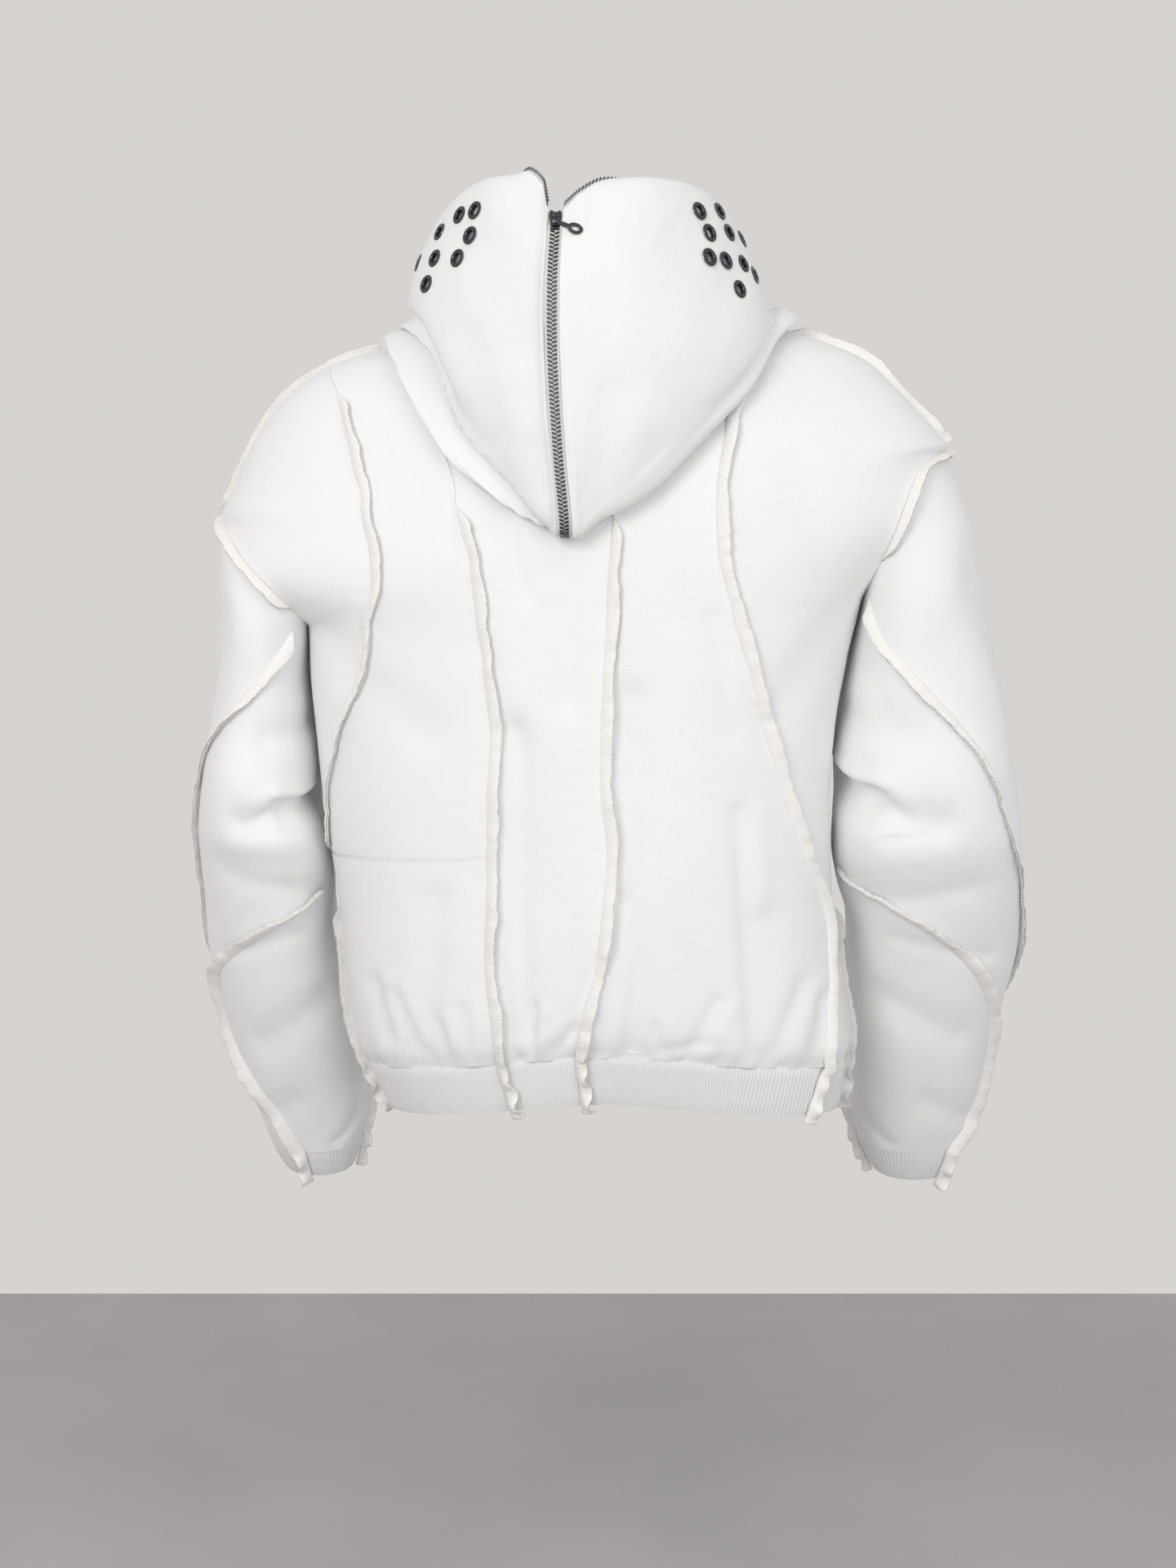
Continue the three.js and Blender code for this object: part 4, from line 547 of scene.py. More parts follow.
def phi_at(x, v):
    """The angle at which a body row passes through x on the back."""
    power, depth, half, *_ = torso_row(x >= 0, True, v)
    y = depth * np.maximum(1 - (np.abs(x) / half) ** power, 0) ** (1 / power)
    return np.degrees(np.arctan2(y, x))


def edge_angle(left, v):
    """The angle of the body's left or right edge on a row."""
    _, _, _, edge_x, edge_y, _, _ = torso_row(left, True, v)
    angle = np.degrees(np.arctan2(edge_y, edge_x))
    return angle if left else 180 - angle


def seam_angle(name):
    """The angle at which a back seam crosses any row, as a function of the row."""
    return lambda v: phi_at(seam_x(name, v), v)


def fine_rows(low, high, step):
    """Rows close enough that no point of the body moves by more than step from one to the next."""
    out = [float(low)]
    for v in range(low, high):
        ends = torso(np.arange(0, 360, 30.0), np.array([[v], [v + 1.0]]))
        count = math.ceil(np.linalg.norm(ends[1] - ends[0], axis=-1).max() / step)
        out += [v + (k + 1) / count for k in range(count)]
    return np.array(out)


# %% [markdown]
# ## Body panels
#
# Seven panels are cut: five across the back and two in front. Each is its own closed wall of jersey
# between two seams, so the seams stay where the photo has them.

# %% Body panels
WALL = 1.8
CLOTH_STEP = 4.2
SEAM_GAP = 0.2


def body_panel(node, low, high, start, end):
    """The body between two angles that change from row to row."""
    v = fine_rows(low, high, CLOTH_STEP)
    a, b = start(v), end(v)
    radius = np.linalg.norm(torso((a + b) / 2, v)[:, :2], axis=-1)
    trim = np.degrees(SEAM_GAP / 2 / radius)
    a, b = a + trim, b - trim
    cols = math.ceil((np.radians(np.abs(b - a)) * 190).max() / CLOTH_STEP)
    phi = a[:, None] + (b - a)[:, None] * np.linspace(0, 1, cols + 1)
    grid = torso(phi, v[:, None], fine=True)
    normals = outward(grid, False, np.array([0, 0, -300]))
    piece = cloth_wall(f"{node}_cloth", grid, normals, WALL, jersey)
    stand_for(piece, "body_cloth", node)
    return piece


def zip_trim(v):
    """Half the front zip as an angle on each row."""
    return np.degrees(ZIP_HALF / np.abs(torso(270, v)[..., 1]))


def s1_or_edge(v):
    """Seam one where there is one, else the left edge."""
    there = (v >= SEAM_FIRST["s1"]) & (v <= 20)
    return np.where(there, seam_angle("s1")(v), edge_angle(True, v))


def s4_or_edge(v):
    """Seam four where there is one, else the right edge."""
    return np.where(v <= 21, seam_angle("s4")(np.minimum(v, 21)), edge_angle(False, v))


body = {
    "back_panel_1": body_panel("back_panel_1", 5, 20, lambda v: edge_angle(True, v), seam_angle("s1")),
    "back_panel_2": body_panel("back_panel_2", 0, 22, s1_or_edge, seam_angle("s2")),
    "back_panel_3": body_panel("back_panel_3", 0, 22, seam_angle("s2"), seam_angle("s3")),
    "back_panel_4": body_panel("back_panel_4", 0, 22, seam_angle("s3"), s4_or_edge),
    "back_panel_5": body_panel("back_panel_5", 0, 21, seam_angle("s4"), lambda v: edge_angle(False, v)),
    "front_left": body_panel(
        "front_left", 0, 22, lambda v: -90 + zip_trim(v), lambda v: -edge_angle(True, v)),
    "front_right": body_panel(
        "front_right", 0, 22, lambda v: -edge_angle(False, v), lambda v: -90 - zip_trim(v)),
}

# %% [markdown]
# ## Ribbed hem
#
# The hem is a doubled band of rib knit that pulls the body in. Its ribs are real ridges, about 3 mm apart,
# because they catch the light along the edge. They are flatter on the left, where the band is stretched.

# %% Hem rib
RIB_WALL = 2.4
RIB_RISE = 0.9
RIB_CLEAR = 1.6
HEM_BOTTOM = {"left": 187, "right": 211, "side_z": -670, "by": 113, "bz": -645, "fy": 104, "fz": -684}


def hem_point(phi, h):
    """A point of the hem band: h runs from 0 at its top to 1 at its bottom."""
    phi, h = np.broadcast_arrays(np.asarray(phi, float), np.asarray(h, float))
    c, s = np.cos(np.radians(phi)), np.sin(np.radians(phi))
    left, back = c >= 0, s >= 0
    power, depth, half, _, _, edge_z, middle_z = torso_row(left, back, np.zeros(phi.shape))
    half = half + (np.where(left, HEM_BOTTOM["left"], HEM_BOTTOM["right"]) - half) * h
    depth = depth + (np.where(back, HEM_BOTTOM["by"], HEM_BOTTOM["fy"]) - depth) * h
    r = ((np.abs(c) / half) ** power + (np.abs(s) / depth) ** power) ** (-1 / power)
    w = np.abs(s) ** 1.5
    top = edge_z + (middle_z - edge_z) * w
    side_low = HEM_BOTTOM["side_z"]
    low = side_low + (np.where(back, HEM_BOTTOM["bz"], HEM_BOTTOM["fz"]) - side_low) * w
    return np.stack([r * c, r * s, top + (low - top) * h], -1)


def rib_profile(share, count, flat):
    """Height of the ribs, from 0 to 1: rounded ridges, less high where flat is near 1."""
    wave = 0.5 - 0.5 * np.cos(2 * math.pi * count * share)
    return wave**0.7 * (1 - 0.55 * flat)


def hem_normal(phi, h):
    """Outward direction of the hem band."""
    normal = numeric_normal(hem_point, phi, np.clip(h, 0.05, 0.95), 0.5, 0.05)
    here = hem_point(phi, h)
    return normal * np.where(np.sum(normal[..., :2] * here[..., :2], -1, keepdims=True) < 0, -1, 1)


def make_hem(count=366, rows=9):
    """The hem band from one side of the front zip round to the other."""
    trim = np.degrees(ZIP_HALF / HEM_BOTTOM["fy"])
    share = np.linspace(0, 1, 4 * count + 1)[None, :]
    h = np.concatenate([[-0.1, -0.03], np.linspace(0.02, 1, rows)])[:, None]
    phi = -90 + trim + (360 - 2 * trim) * share
    flat = np.exp(-(((phi - 50) / 38) ** 2)) + 0 * h
    grid = hem_point(phi, h)
    normals = hem_normal(phi, h)
    tucked = 2.6 * np.exp(-np.maximum(h + 0.03, 0) / 0.05)
    rolled = tucked + 1.3 * (1 - np.sqrt(1 - np.maximum(2 * h - 1, 0) ** 2 * 0.98))
    lift = RIB_RISE * rib_profile(share, count, flat) - rolled
    grid = grid + normals * lift[..., None]
    piece = cloth_wall("hem_rib_cloth", grid, normals, RIB_WALL, rib_yarn)
    stand_for(piece, "rib_knit", "hem_rib")
    return piece


hem = make_hem()

# %% [markdown]
# ## Sleeves
#
# A sleeve starts on the armhole's own curve and turns into rounded rings that bend forward at the elbow.
# Three panels are cut for each: a wide top, a back, and a lower one that starts under the elbow. The
# deep folds at the elbow and under the arm are pressed in towards the middle of the sleeve.

# %% Sleeves
def oval_point(side, ring, q):
    """A point of a rounded ring: q counts 24ths of a turn, 0 outside, 6 at the back, 12 under the arm."""
    a = np.radians(15 * q)
    c, s = np.cos(a), np.sin(a)
    r = (np.abs(c) ** 2.2 + np.abs(s) ** 2.2) ** (-1 / 2.2)
    x = (ring[..., OX] + ring[..., IX]) / 2 + (ring[..., OX] - ring[..., IX]) / 2 * c * r
    reach = (ring[..., BACK] - ring[..., FRONT]) / 2
    y = (ring[..., BACK] + ring[..., FRONT]) / 2 + reach * s * r
    z = (ring[..., OZ] + ring[..., IZ]) / 2 + (ring[..., OZ] - ring[..., IZ]) / 2 * c * r
    z = z - ring[..., DIP] * reach * s * r
    return np.stack([x if side == "left" else -x, y, z], -1)


def armhole_at(side, q):
    """A point of the armhole: the body's own edge, up the back and down the front."""
    k = np.mod(q / 2, 12)
    behind = k <= 6
    v = np.where(behind, ARM_TOP - k, ARM_LOW + k - 6)
    left = side == "left"
    row = smooth_read(TORSO, v)
    x = row[..., LX] if left else -row[..., RX]
    y = np.maximum(row[..., LY if left else RY], 0) * np.where(behind, 1, -1)
    return np.stack([x, y, row[..., LZ if left else RZ]], -1)


def sleeve_middle(side, w):
    """The middle of a sleeve's ring."""
    ring = smooth_read(RINGS[side], w)
    x = (ring[..., OX] + ring[..., IX]) / 2
    return np.stack([x if side == "left" else -x, (ring[..., BACK] + ring[..., FRONT]) / 2,
                     (ring[..., OZ] + ring[..., IZ]) / 2], -1)


def sleeve_depth(side, q, w):
    """How far the folds press a sleeve in, measured on the sleeve laid flat."""
    depth = np.zeros(q.shape)
    for q0, w0, q1, w1, wide, deep in SLEEVE_FOLDS[side]:
        dq, dw = (q1 - q0) * TURN_MM, (w1 - w0) * RING_MM
        pw = (w - w0) * RING_MM
        for turn in (-24, 0, 24):
            pq = (q + turn - q0) * TURN_MM
            t = np.clip((pq * dq + pw * dw) / (dq * dq + dw * dw), 0, 1)
            away = np.hypot(pq - t * dq, pw - t * dw) / wide
            depth += deep * np.exp(-away**2)
    return depth


def crease_depth(side, q, w):
    """Overhanging creases: the cloth bulges above each line, drops at it and comes back slowly below."""
    depth = np.zeros(q.shape)
    for q0, w0, q1, w1, above, below, deep0, deep1 in SLEEVE_CREASES[side]:
        dq, dw = (q1 - q0) * TURN_MM, (w1 - w0) * RING_MM
        pw = (w - w0) * RING_MM
        long = math.hypot(dq, dw)
        for turn in (0, 24):
            pq = (q + turn - q0) * TURN_MM
            t = (pq * dq + pw * dw) / long**2
            past = np.maximum(np.maximum(-t, t - 1), 0) * long / 9
            under = (pq * dw - pw * dq) / long
            step = np.where(under > 0, np.exp(-(under / below) ** 2), np.exp(-(under / above) ** 2))
            bulge = 0.4 * np.exp(-((under + 3.4 * above) / (2.4 * above)) ** 2)
            depth += (deep0 + (deep1 - deep0) * np.clip(t, 0, 1)) * (step - bulge) * np.exp(-past**2)
    return depth


def sleeve(side, q, w, fine=False):
    """A point of a sleeve: q round it, w along it in rings from the armhole, with its folds pressed in."""
    q, w = np.broadcast_arrays(np.asarray(q, float), np.asarray(w, float))
    rings = [armhole_at(side, q)] + [oval_point(side, ring, q) for ring in RINGS[side][1:]]
    rings = np.stack([2 * rings[0] - rings[1], *rings, 2 * rings[-1] - rings[-2]])
    i = np.clip(np.floor(w).astype(int), 0, SLEEVE_END - 1)
    f = (w - i)[..., None]
    a, b, c, d = (np.take_along_axis(rings, (i + k)[None, ..., None], 0)[0] for k in range(4))
    point = 0.5 * (2 * b + (c - a) * f + (2 * a - 5 * b + 4 * c - d) * f**2 + (3 * b - a - 3 * c + d) * f**3)
    uneven = 0.5 * np.sin(q * 1.1 + w * 0.9) + 0.4 * np.sin(q * 0.6 - w * 2.3 + 1)
    depth = sleeve_depth(side, q, w) - uneven
    if fine:
        depth = depth + crease_depth(side, q, w)
    depth = depth * np.clip(w / 0.6, 0, 1)
    return point + unit(sleeve_middle(side, w) - point) * depth[..., None]


def sleeve_normal(side, q, w):
    """Outward direction of a sleeve."""
    w = np.clip(w, 0.12, SLEEVE_END - 0.05)
    normal = numeric_normal(lambda a, b: sleeve(side, a, b), q, w, 0.3, 0.06)
    away = sleeve(side, q, w) - sleeve_middle(side, w)
    return normal * np.where(np.sum(normal * away, -1, keepdims=True) < 0, -1, 1)


def turn_of(side, table):
    """The turn of a long sleeve seam at any ring, as a function of the ring."""
    return lambda w: np.minimum(smooth_read(table[side], w), 12.0)


def sleeve_panel(side, name, start_ring, start, end):
    """One panel of a sleeve between two of its long seams."""
    w = np.linspace(start_ring, SLEEVE_END, round((SLEEVE_END - start_ring) * RING_MM / CLOTH_STEP) + 1)
    elbow = np.arange(2.6, 4.9, 1.7 / RING_MM)
    w = np.unique(np.concatenate([w[(w < 2.6) | (w > 4.9)], elbow[elbow > start_ring]]))
    a, b = start(w), end(w)
    cols = max(math.ceil((np.abs(b - a) * 20).max() / CLOTH_STEP), 3)
    trim = SEAM_GAP / 2 / TURN_MM
    b = np.maximum(b - trim, a + 2 * trim)
    q = (a + trim)[:, None] + (b - a - trim)[:, None] * np.linspace(0, 1, cols + 1)
    grid = sleeve(side, q, w[:, None], fine=True)
    middle = sleeve_middle(side, w)[:, None, :]
    normals = outward(grid, False, middle)
    node = f"sleeve_{side}_{name}"
    piece = cloth_wall(f"{node}_cloth", grid, normals, WALL, jersey)
    stand_for(piece, "body_cloth", node)
    return piece


def make_cuff(side, count=82, rows=8):
    """The ribbed cuff: the last ring carried on to its own smaller one."""
    share = np.arange(4 * count) / (4 * count)
    q = 24 * share[None, :]
    t = np.linspace(0, 1, rows)[:, None]
    top = oval_point(side, RINGS[side][SLEEVE_END], q)
    low = oval_point(side, CUFFS[side], q)
    down = unit(low - top)
    normal = sleeve_normal(side, q, np.full(q.shape, float(SLEEVE_END)))
    normal = unit(normal - down * np.sum(normal * down, -1, keepdims=True)) + 0 * t[..., None]
    top = top + down * 0.6
    grid = top + (low - top) * t[..., None]
    rolled = 1.2 * (1 - np.sqrt(1 - (2 * t - 1) ** 2 * 0.98))
    lift = RIB_RISE * rib_profile(share[None, :], count, 0) - rolled
    grid = grid + normal * lift[..., None]
    piece = cloth_wall(f"cuff_{side}_cloth", grid, normal, RIB_WALL, rib_yarn, wrap=True)
    stand_for(piece, "rib_knit", f"cuff_{side}")
    return piece


for side in ("left", "right"):
    turn_a, turn_b = turn_of(side, TURN_A), turn_of(side, TURN_B)
    sleeve_panel(side, "top", 0, lambda w: np.full(w.shape, -12.0), turn_a)
    sleeve_panel(side, "back", 0, turn_a, turn_b)
    sleeve_panel(side, "lower", B_START[side], turn_b, lambda w: np.full(w.shape, 12.0))
    make_cuff(side)

# %% [markdown]
# ## Hood
#
# The hood lies back over the shoulders. Each of its columns is a curve that leaves the neck seam, lies on
# the shoulders, folds under at the hood's lower edge and rises over its belly to the rim. The eyelet holes
# are cut by leaving out the cloth near each one and drawing its edge onto a circle.

# %% Hood
HOOD_STEP = 3.6
EYELET_CUT = 5.6


def body_under(az, v):
    """The body's surface in a direction from the hood's axis, found by turning until the azimuth is met."""
    phi = 90 - az
    for _ in range(4):
        p = torso(phi, v)
        found = np.degrees(np.arctan2(p[..., 0] - HOOD_AXIS[0], p[..., 1] - HOOD_AXIS[1]))
        phi = phi + np.mod(found - az + 180, 360) - 180
    return torso(phi, v), torso_normal(phi, v)


def hood_controls(side, u):
    """The thirteen points that each hood column's curve goes through, from the neck seam to the rim."""
    row = smooth_read(HOOD[side], u)
    az, fold, off = row[..., AZ], row[..., FOLD], row[..., OFF]
    flap = np.maximum(row[..., FLAP], 0)
    turn = np.radians(az)
    around = np.stack([np.sin(turn), np.cos(turn), 0 * turn], -1)
    axis = np.array([HOOD_AXIS[0], HOOD_AXIS[1], 0])

    def lift(v, height):
        point, normal = body_under(az, v + 0 * az)
        return point + normal * np.reshape(height + 0 * az, az.shape + (1,))

    def polar(r, z):
        point = axis + around * r[..., None]
        point[..., 2] = z
        return point

    low = fold - flap
    small = np.minimum(flap, 1)
    neck = lift(LAST_ROW, 1)
    neck[..., 2] += 1
    belly_r, belly_z, top_r, top_z = (row[..., k] for k in (BELLY_R, BELLY_Z, TOP_R, TOP_Z))
    belly = polar(belly_r, belly_z)
    outer = lift(fold + 0.35, off + 3)
    return np.stack([
        neck,
        lift(LAST_ROW + (low - LAST_ROW) * 0.25, 8),
        lift(LAST_ROW + (low - LAST_ROW) * 0.7, 10),
        lift(low + 0.15, 10),
        lift(low + 0.1 * flap, 11 + 3.5 * small),
        lift(fold + 0.35 * small, 10 + 0.3 * (off - 10)),
        lift(fold, 10 + 0.7 * (off - 10)),
        outer,
        outer + (belly - outer) * 0.45 + around * 5,
        belly,
        polar(0.4 * belly_r + 0.6 * top_r + np.minimum(0.1 * (top_z - belly_z), 6),
              0.4 * belly_z + 0.6 * top_z),
        polar(top_r, top_z),
        polar(row[..., RIM_R], row[..., RIM_Z]),
    ])


def centripetal(controls, samples=20):
    """A smooth curve through controls, with knots spaced by the root of each gap so that it never loops."""
    first = 2 * controls[:1] - controls[1:2]
    last = 2 * controls[-1:] - controls[-2:-1]
    p = np.concatenate([first, controls, last])
    gap = np.maximum(np.linalg.norm(np.diff(p, axis=0), axis=-1), 1e-3) ** 0.5
    weight = (np.arange(samples) / samples).reshape(-1, *[1] * (controls.ndim - 1))
    pieces = []
    for k in range(1, len(p) - 2):
        a, b, c, d = p[k - 1], p[k], p[k + 1], p[k + 2]
        g0, g1, g2 = (gap[k + j - 1][..., None] for j in range(3))
        t1 = ((b - a) / g0 - (c - a) / (g0 + g1) + (c - b) / g1) * g1
        t2 = ((c - b) / g1 - (d - b) / (g1 + g2) + (d - c) / g2) * g1
        pieces.append(b + t1 * weight + (3 * (c - b) - 2 * t1 - t2) * weight**2
                      + (2 * (b - c) + t1 + t2) * weight**3)
    return np.concatenate([*pieces, controls[-1:]])


def hood_grid(side, u, s):
    """Points of the hood for each column u and each share s of that column's length, in rows of s."""
    curve = centripetal(hood_controls(side, np.asarray(u, float)))
    walked = running_length(curve, 0)
    out = np.empty((len(s), curve.shape[1], 3))
    for j in range(curve.shape[1]):
        for axis in range(3):
            out[:, j, axis] = np.interp(s * walked[-1, j], walked[:, j], curve[:, j, axis])
    return out, walked[-1]


def hood_spot(side, u, s):
    """One place on the hood: its point, outward normal and the direction up its column."""
    us, ss = np.array([u - 0.04, u, u + 0.04]), np.clip(np.array([s - 0.004, s, s + 0.004]), 0, 1)
    grid, _ = hood_grid(side, us, ss)
    along = unit(grid[2, 1] - grid[0, 1])
    normal = unit(np.cross(grid[1, 2] - grid[1, 0], along))
    return grid[1, 1], (-normal if side == "left" else normal), along


def zip_shift(side, u, grid):
    """Columns next to the zips stand back by half a zip, the shift fading over one column."""
    sign = 1 if side == "left" else -1
    last = len(HOOD[side]) - 1
    grid[..., 0] += sign * ZIP_HALF * np.clip(1 - u, 0, 1)
    near = np.clip(u - last + 1, 0, 1)
    grid[..., 0] = grid[..., 0] * (1 - near) + near * (sign * ZIP_HALF * near + (1 - near) * grid[..., 0])
    return grid


# Soft dents of the hood as x0, z0, x1, z1, half width and depth, on its back.
HOOD_DENTS = np.array([
    [96, 60, 78, -20, 20, 2.5], [-60, 62, -44, -40, 24, 2], [-92, 30, -70, -60, 20, 2.2],
    [30, 40, 34, -110, 10, 1.4], [110, -10, 84, -90, 16, 2.4], [60, -60, 48, -130, 14, 1.8],
    [-10, -60, 14, -150, 16, 2], [-40, -100, -10, -168, 14, 2.2], [66, 96, 60, 30, 18, 1.5],
])


def hood_rise(grid, length, s):
    """The doubled edge beside the zips and rim with its stitch line, less the soft dents on the back."""
    across = running_length(grid, 1)
    from_zip = np.minimum(across, across[:, -1:] - across)
    from_rim = (1 - s[:, None]) * length
    rise = np.zeros(grid.shape[:2])
    for away in (from_zip, from_rim):
        doubled = 1 / (1 + np.exp((away - 10.5) / 0.7))
        stitched = np.exp(-((away - 8) / 1.1) ** 2)
        rise = np.maximum(rise, 1.2 * doubled) - 0.5 * stitched
    x, z = grid[..., 0], grid[..., 2]
    behind = np.clip(grid[..., 1] / 60, 0, 1) * (s[:, None] > 0.45)
    uneven = 0.7 * np.sin(x / 23 + z / 31) + 0.5 * np.sin(x / 41 - z / 17 + 2)
    return rise + uneven * 0.7 - behind * pressed(HOOD_DENTS, x, z, 0.4)


hoods, eyelet_places = {}, []
for side in ("left", "right"):
    last = len(HOOD[side]) - 1
    columns = smooth_read(HOOD[side], np.linspace(0, last, 60))
    swept = np.abs(np.diff(np.radians(columns[:, AZ]))).sum() * 165
    u = np.linspace(0, last, math.ceil(swept / HOOD_STEP))
    s = np.linspace(0, 1, 112)
    grid, length = hood_grid(side, u, s)
    grid = zip_shift(side, u, grid)
    normals = unit(np.cross(np.gradient(grid, axis=1), np.gradient(grid, axis=0)))
    normals = -normals if side == "left" else normals
    grid = grid + normals * hood_rise(grid, length, s)[..., None]
    centres = grid[:-1, :-1] / 4 + grid[1:, :-1] / 4 + grid[:-1, 1:] / 4 + grid[1:, 1:] / 4
    keep = np.ones(centres.shape[:2], bool)
    for eu, es in EYELETS[side]:
        place, out, along = hood_spot(side, eu, es)
        eyelet_places.append((side, place, out, along))
        gone = np.linalg.norm(centres - place, axis=-1) < EYELET_CUT
        keep &= ~gone
        touched = np.zeros(grid.shape[:2], bool)
        for di in (0, 1):
            for dj in (0, 1):
                touched[di:di + gone.shape[0], dj:dj + gone.shape[1]] |= gone
        flat = (grid[touched] - place) - np.sum((grid[touched] - place) * out, -1, keepdims=True) * out
        grid[touched] = place + unit(flat) * EYELET_CUT
    piece = cloth_wall(f"hood_{side}_cloth", grid, normals, WALL, jersey, keep=keep)
    stand_for(piece, "body_cloth", f"hood_{side}")
    hoods[side] = piece

# %% [markdown]
# ## Raised raw seams
#
# Two raw edges are overlocked together and stand on the outside. Each is a ribbon with a rounded section:
# it leaves the cloth upright, leans over to one side and waves, more so where it ends in a ruffle past the
# hem and cuffs. A flat strip would miss the double lip and the uneven cut edge that the photo shows.

# %% Raised seams
FLANGE_HIGH = 10.5
FLANGE_HALF = 1.1
FLANGE_LEVELS = 7
TAPER = 20.0
NOTCH = 2.0
SEAM_STEP = 1.6


def even_line(points, normals):
    """The line walked in equal steps, with its normals smoothed along it."""
    walked = np.concatenate([[0], np.cumsum(np.linalg.norm(np.diff(points, axis=0), axis=-1))])
    at = np.linspace(0, walked[-1], max(round(walked[-1] / SEAM_STEP), 4) + 1)
    line = np.stack([np.interp(at, walked, points[:, k]) for k in range(3)], -1)
    facing = np.stack([np.interp(at, walked, normals[:, k]) for k in range(3)], -1)
    for _ in range(3):
        line[1:-1] = 0.25 * line[:-2] + 0.5 * line[1:-1] + 0.25 * line[2:]
        facing[1:-1] = 0.25 * facing[:-2] + 0.5 * facing[1:-1] + 0.25 * facing[2:]
    return at, line, unit(facing)


def raw_seam(node, points, normals, lean, phase, ruffle_start=0.0, ruffle_end=0.0, high=FLANGE_HIGH):
    """A raised seam along a line. lean is in degrees from upright; ruffles are lengths at either end."""
    at, line, facing = even_line(points, normals)
    along = unit(np.gradient(line, axis=0))
    sideways = unit(np.cross(along, facing))
    facing = unit(np.cross(sideways, along))
    total = at[-1]
    wave = (7 * np.sin(at / 17 + phase) + 5 * np.sin(at / 7.3 + 2 * phase + np.sin(at / 31))
            + 3 * np.sin(at / 3.1))
    ruffled = np.zeros(len(at))
    if ruffle_start:
        ruffled += np.clip(1 - at / ruffle_start, 0, 1)
    if ruffle_end:
        ruffled += np.clip(1 - (total - at) / ruffle_end, 0, 1)
    ruffle = 30 * np.minimum(ruffled * 1.6, 1) * np.sin(at / 3.6 + phase)
    shaken = rng.normal(0, 1, len(at) + 4)
    cut = (shaken[:-4] + shaken[1:-3] + shaken[2:-2] + shaken[3:-1] + shaken[4:]) / 5
    rise = high * (1 + 0.1 * np.sin(at / 14 + phase) + 0.06 * cut)
    from_start = at / (3 if ruffle_start else TAPER) + (0.5 if ruffle_start else 0.06)
    from_end = (total - at) / (3 if ruffle_end else TAPER) + (0.5 if ruffle_end else 0.06)
    taper = np.clip(np.minimum(from_start, from_end), 0, 1)
    rise = rise * taper**1.5 * (2.5 - 1.5 * taper)
    levels = np.linspace(0, 1, FLANGE_LEVELS)
    lean_at = (lean * (0.4 + 0.9 * levels)[None, :] + wave[:, None] * (0.3 + 0.7 * levels)
               + ruffle[:, None] * (0.1 + 1.5 * levels))
    lean_at = np.radians(np.clip(lean_at, -88, 88))
    step = rise[:, None] / (FLANGE_LEVELS - 1)
    out = np.cumsum(np.cos(lean_at) * step, 1) - np.cos(lean_at[:, :1]) * step
    over = np.cumsum(np.sin(lean_at) * step, 1) - np.sin(lean_at[:, :1]) * step
    thick = FLANGE_HALF * (1 + 0.12 * rng.normal(0, 1, len(at))[:, None] * levels) * (1 + 0.3 * levels)
    near_out, near_over = out - np.sin(lean_at) * -thick, over - np.cos(lean_at) * thick
    far_out, far_over = out + np.sin(lean_at) * -thick, over + np.cos(lean_at) * thick
    tip = lean_at[:, -1:]
    lip = 0.55 + 0.2 * rng.normal(0, 1, (len(at), 2))
    tip_out = np.concatenate([
        out[:, -1:] + np.cos(tip) * lip[:, :1] + np.sin(tip) * thick[:, -1:] * 0.5,
        out[:, -1:] - np.cos(tip) * NOTCH,
        out[:, -1:] + np.cos(tip) * lip[:, 1:] - np.sin(tip) * thick[:, -1:] * 0.5], 1)
    tip_over = np.concatenate([
        over[:, -1:] + np.sin(tip) * lip[:, :1] - np.cos(tip) * thick[:, -1:] * 0.5,
        over[:, -1:] - np.sin(tip) * NOTCH,
        over[:, -1:] + np.sin(tip) * lip[:, 1:] + np.cos(tip) * thick[:, -1:] * 0.5], 1)
    section_out = np.concatenate([near_out, tip_out, far_out[:, ::-1]], 1) - 1.0
    section_over = np.concatenate([near_over, tip_over, far_over[:, ::-1]], 1)
    grid = (line[:, None, :] + facing[:, None, :] * section_out[..., None]
            + sideways[:, None, :] * section_over[..., None])
    rows, cols = grid.shape[:2]
    index = np.arange(rows * cols).reshape(rows, cols)
    wrapped = np.concatenate([index, index[:, :1]], 1)
    quads = np.stack([wrapped[:-1, :-1], wrapped[:-1, 1:], wrapped[1:, 1:], wrapped[1:, :-1]], -1)
    quads = quads.reshape(-1, 4)
    half = cols // 2
    caps = []
    for row, flip in ((0, True), (rows - 1, False)):
        ring = index[row]
        for k in range(half):
            quad = [ring[k], ring[k + 1], ring[cols - 2 - k], ring[cols - 1 - k]]
            if quad[1] == quad[2]:
                quad = quad[:2] + quad[3:]
            caps.append(quad[::-1] if flip else quad)
    faces = [list(f) for f in quads.tolist()] + [[int(c) for c in f] for f in caps]
    uv = np.stack([np.broadcast_to(at[:, None], (rows, cols)), running_length(grid, 1)], -1).reshape(-1, 2)
    piece = ribbon_mesh(f"{node}_edge", grid.reshape(-1, 3), faces, overlocked, uv)
    stand_for(piece, "raw_seam", node)
    return piece, total


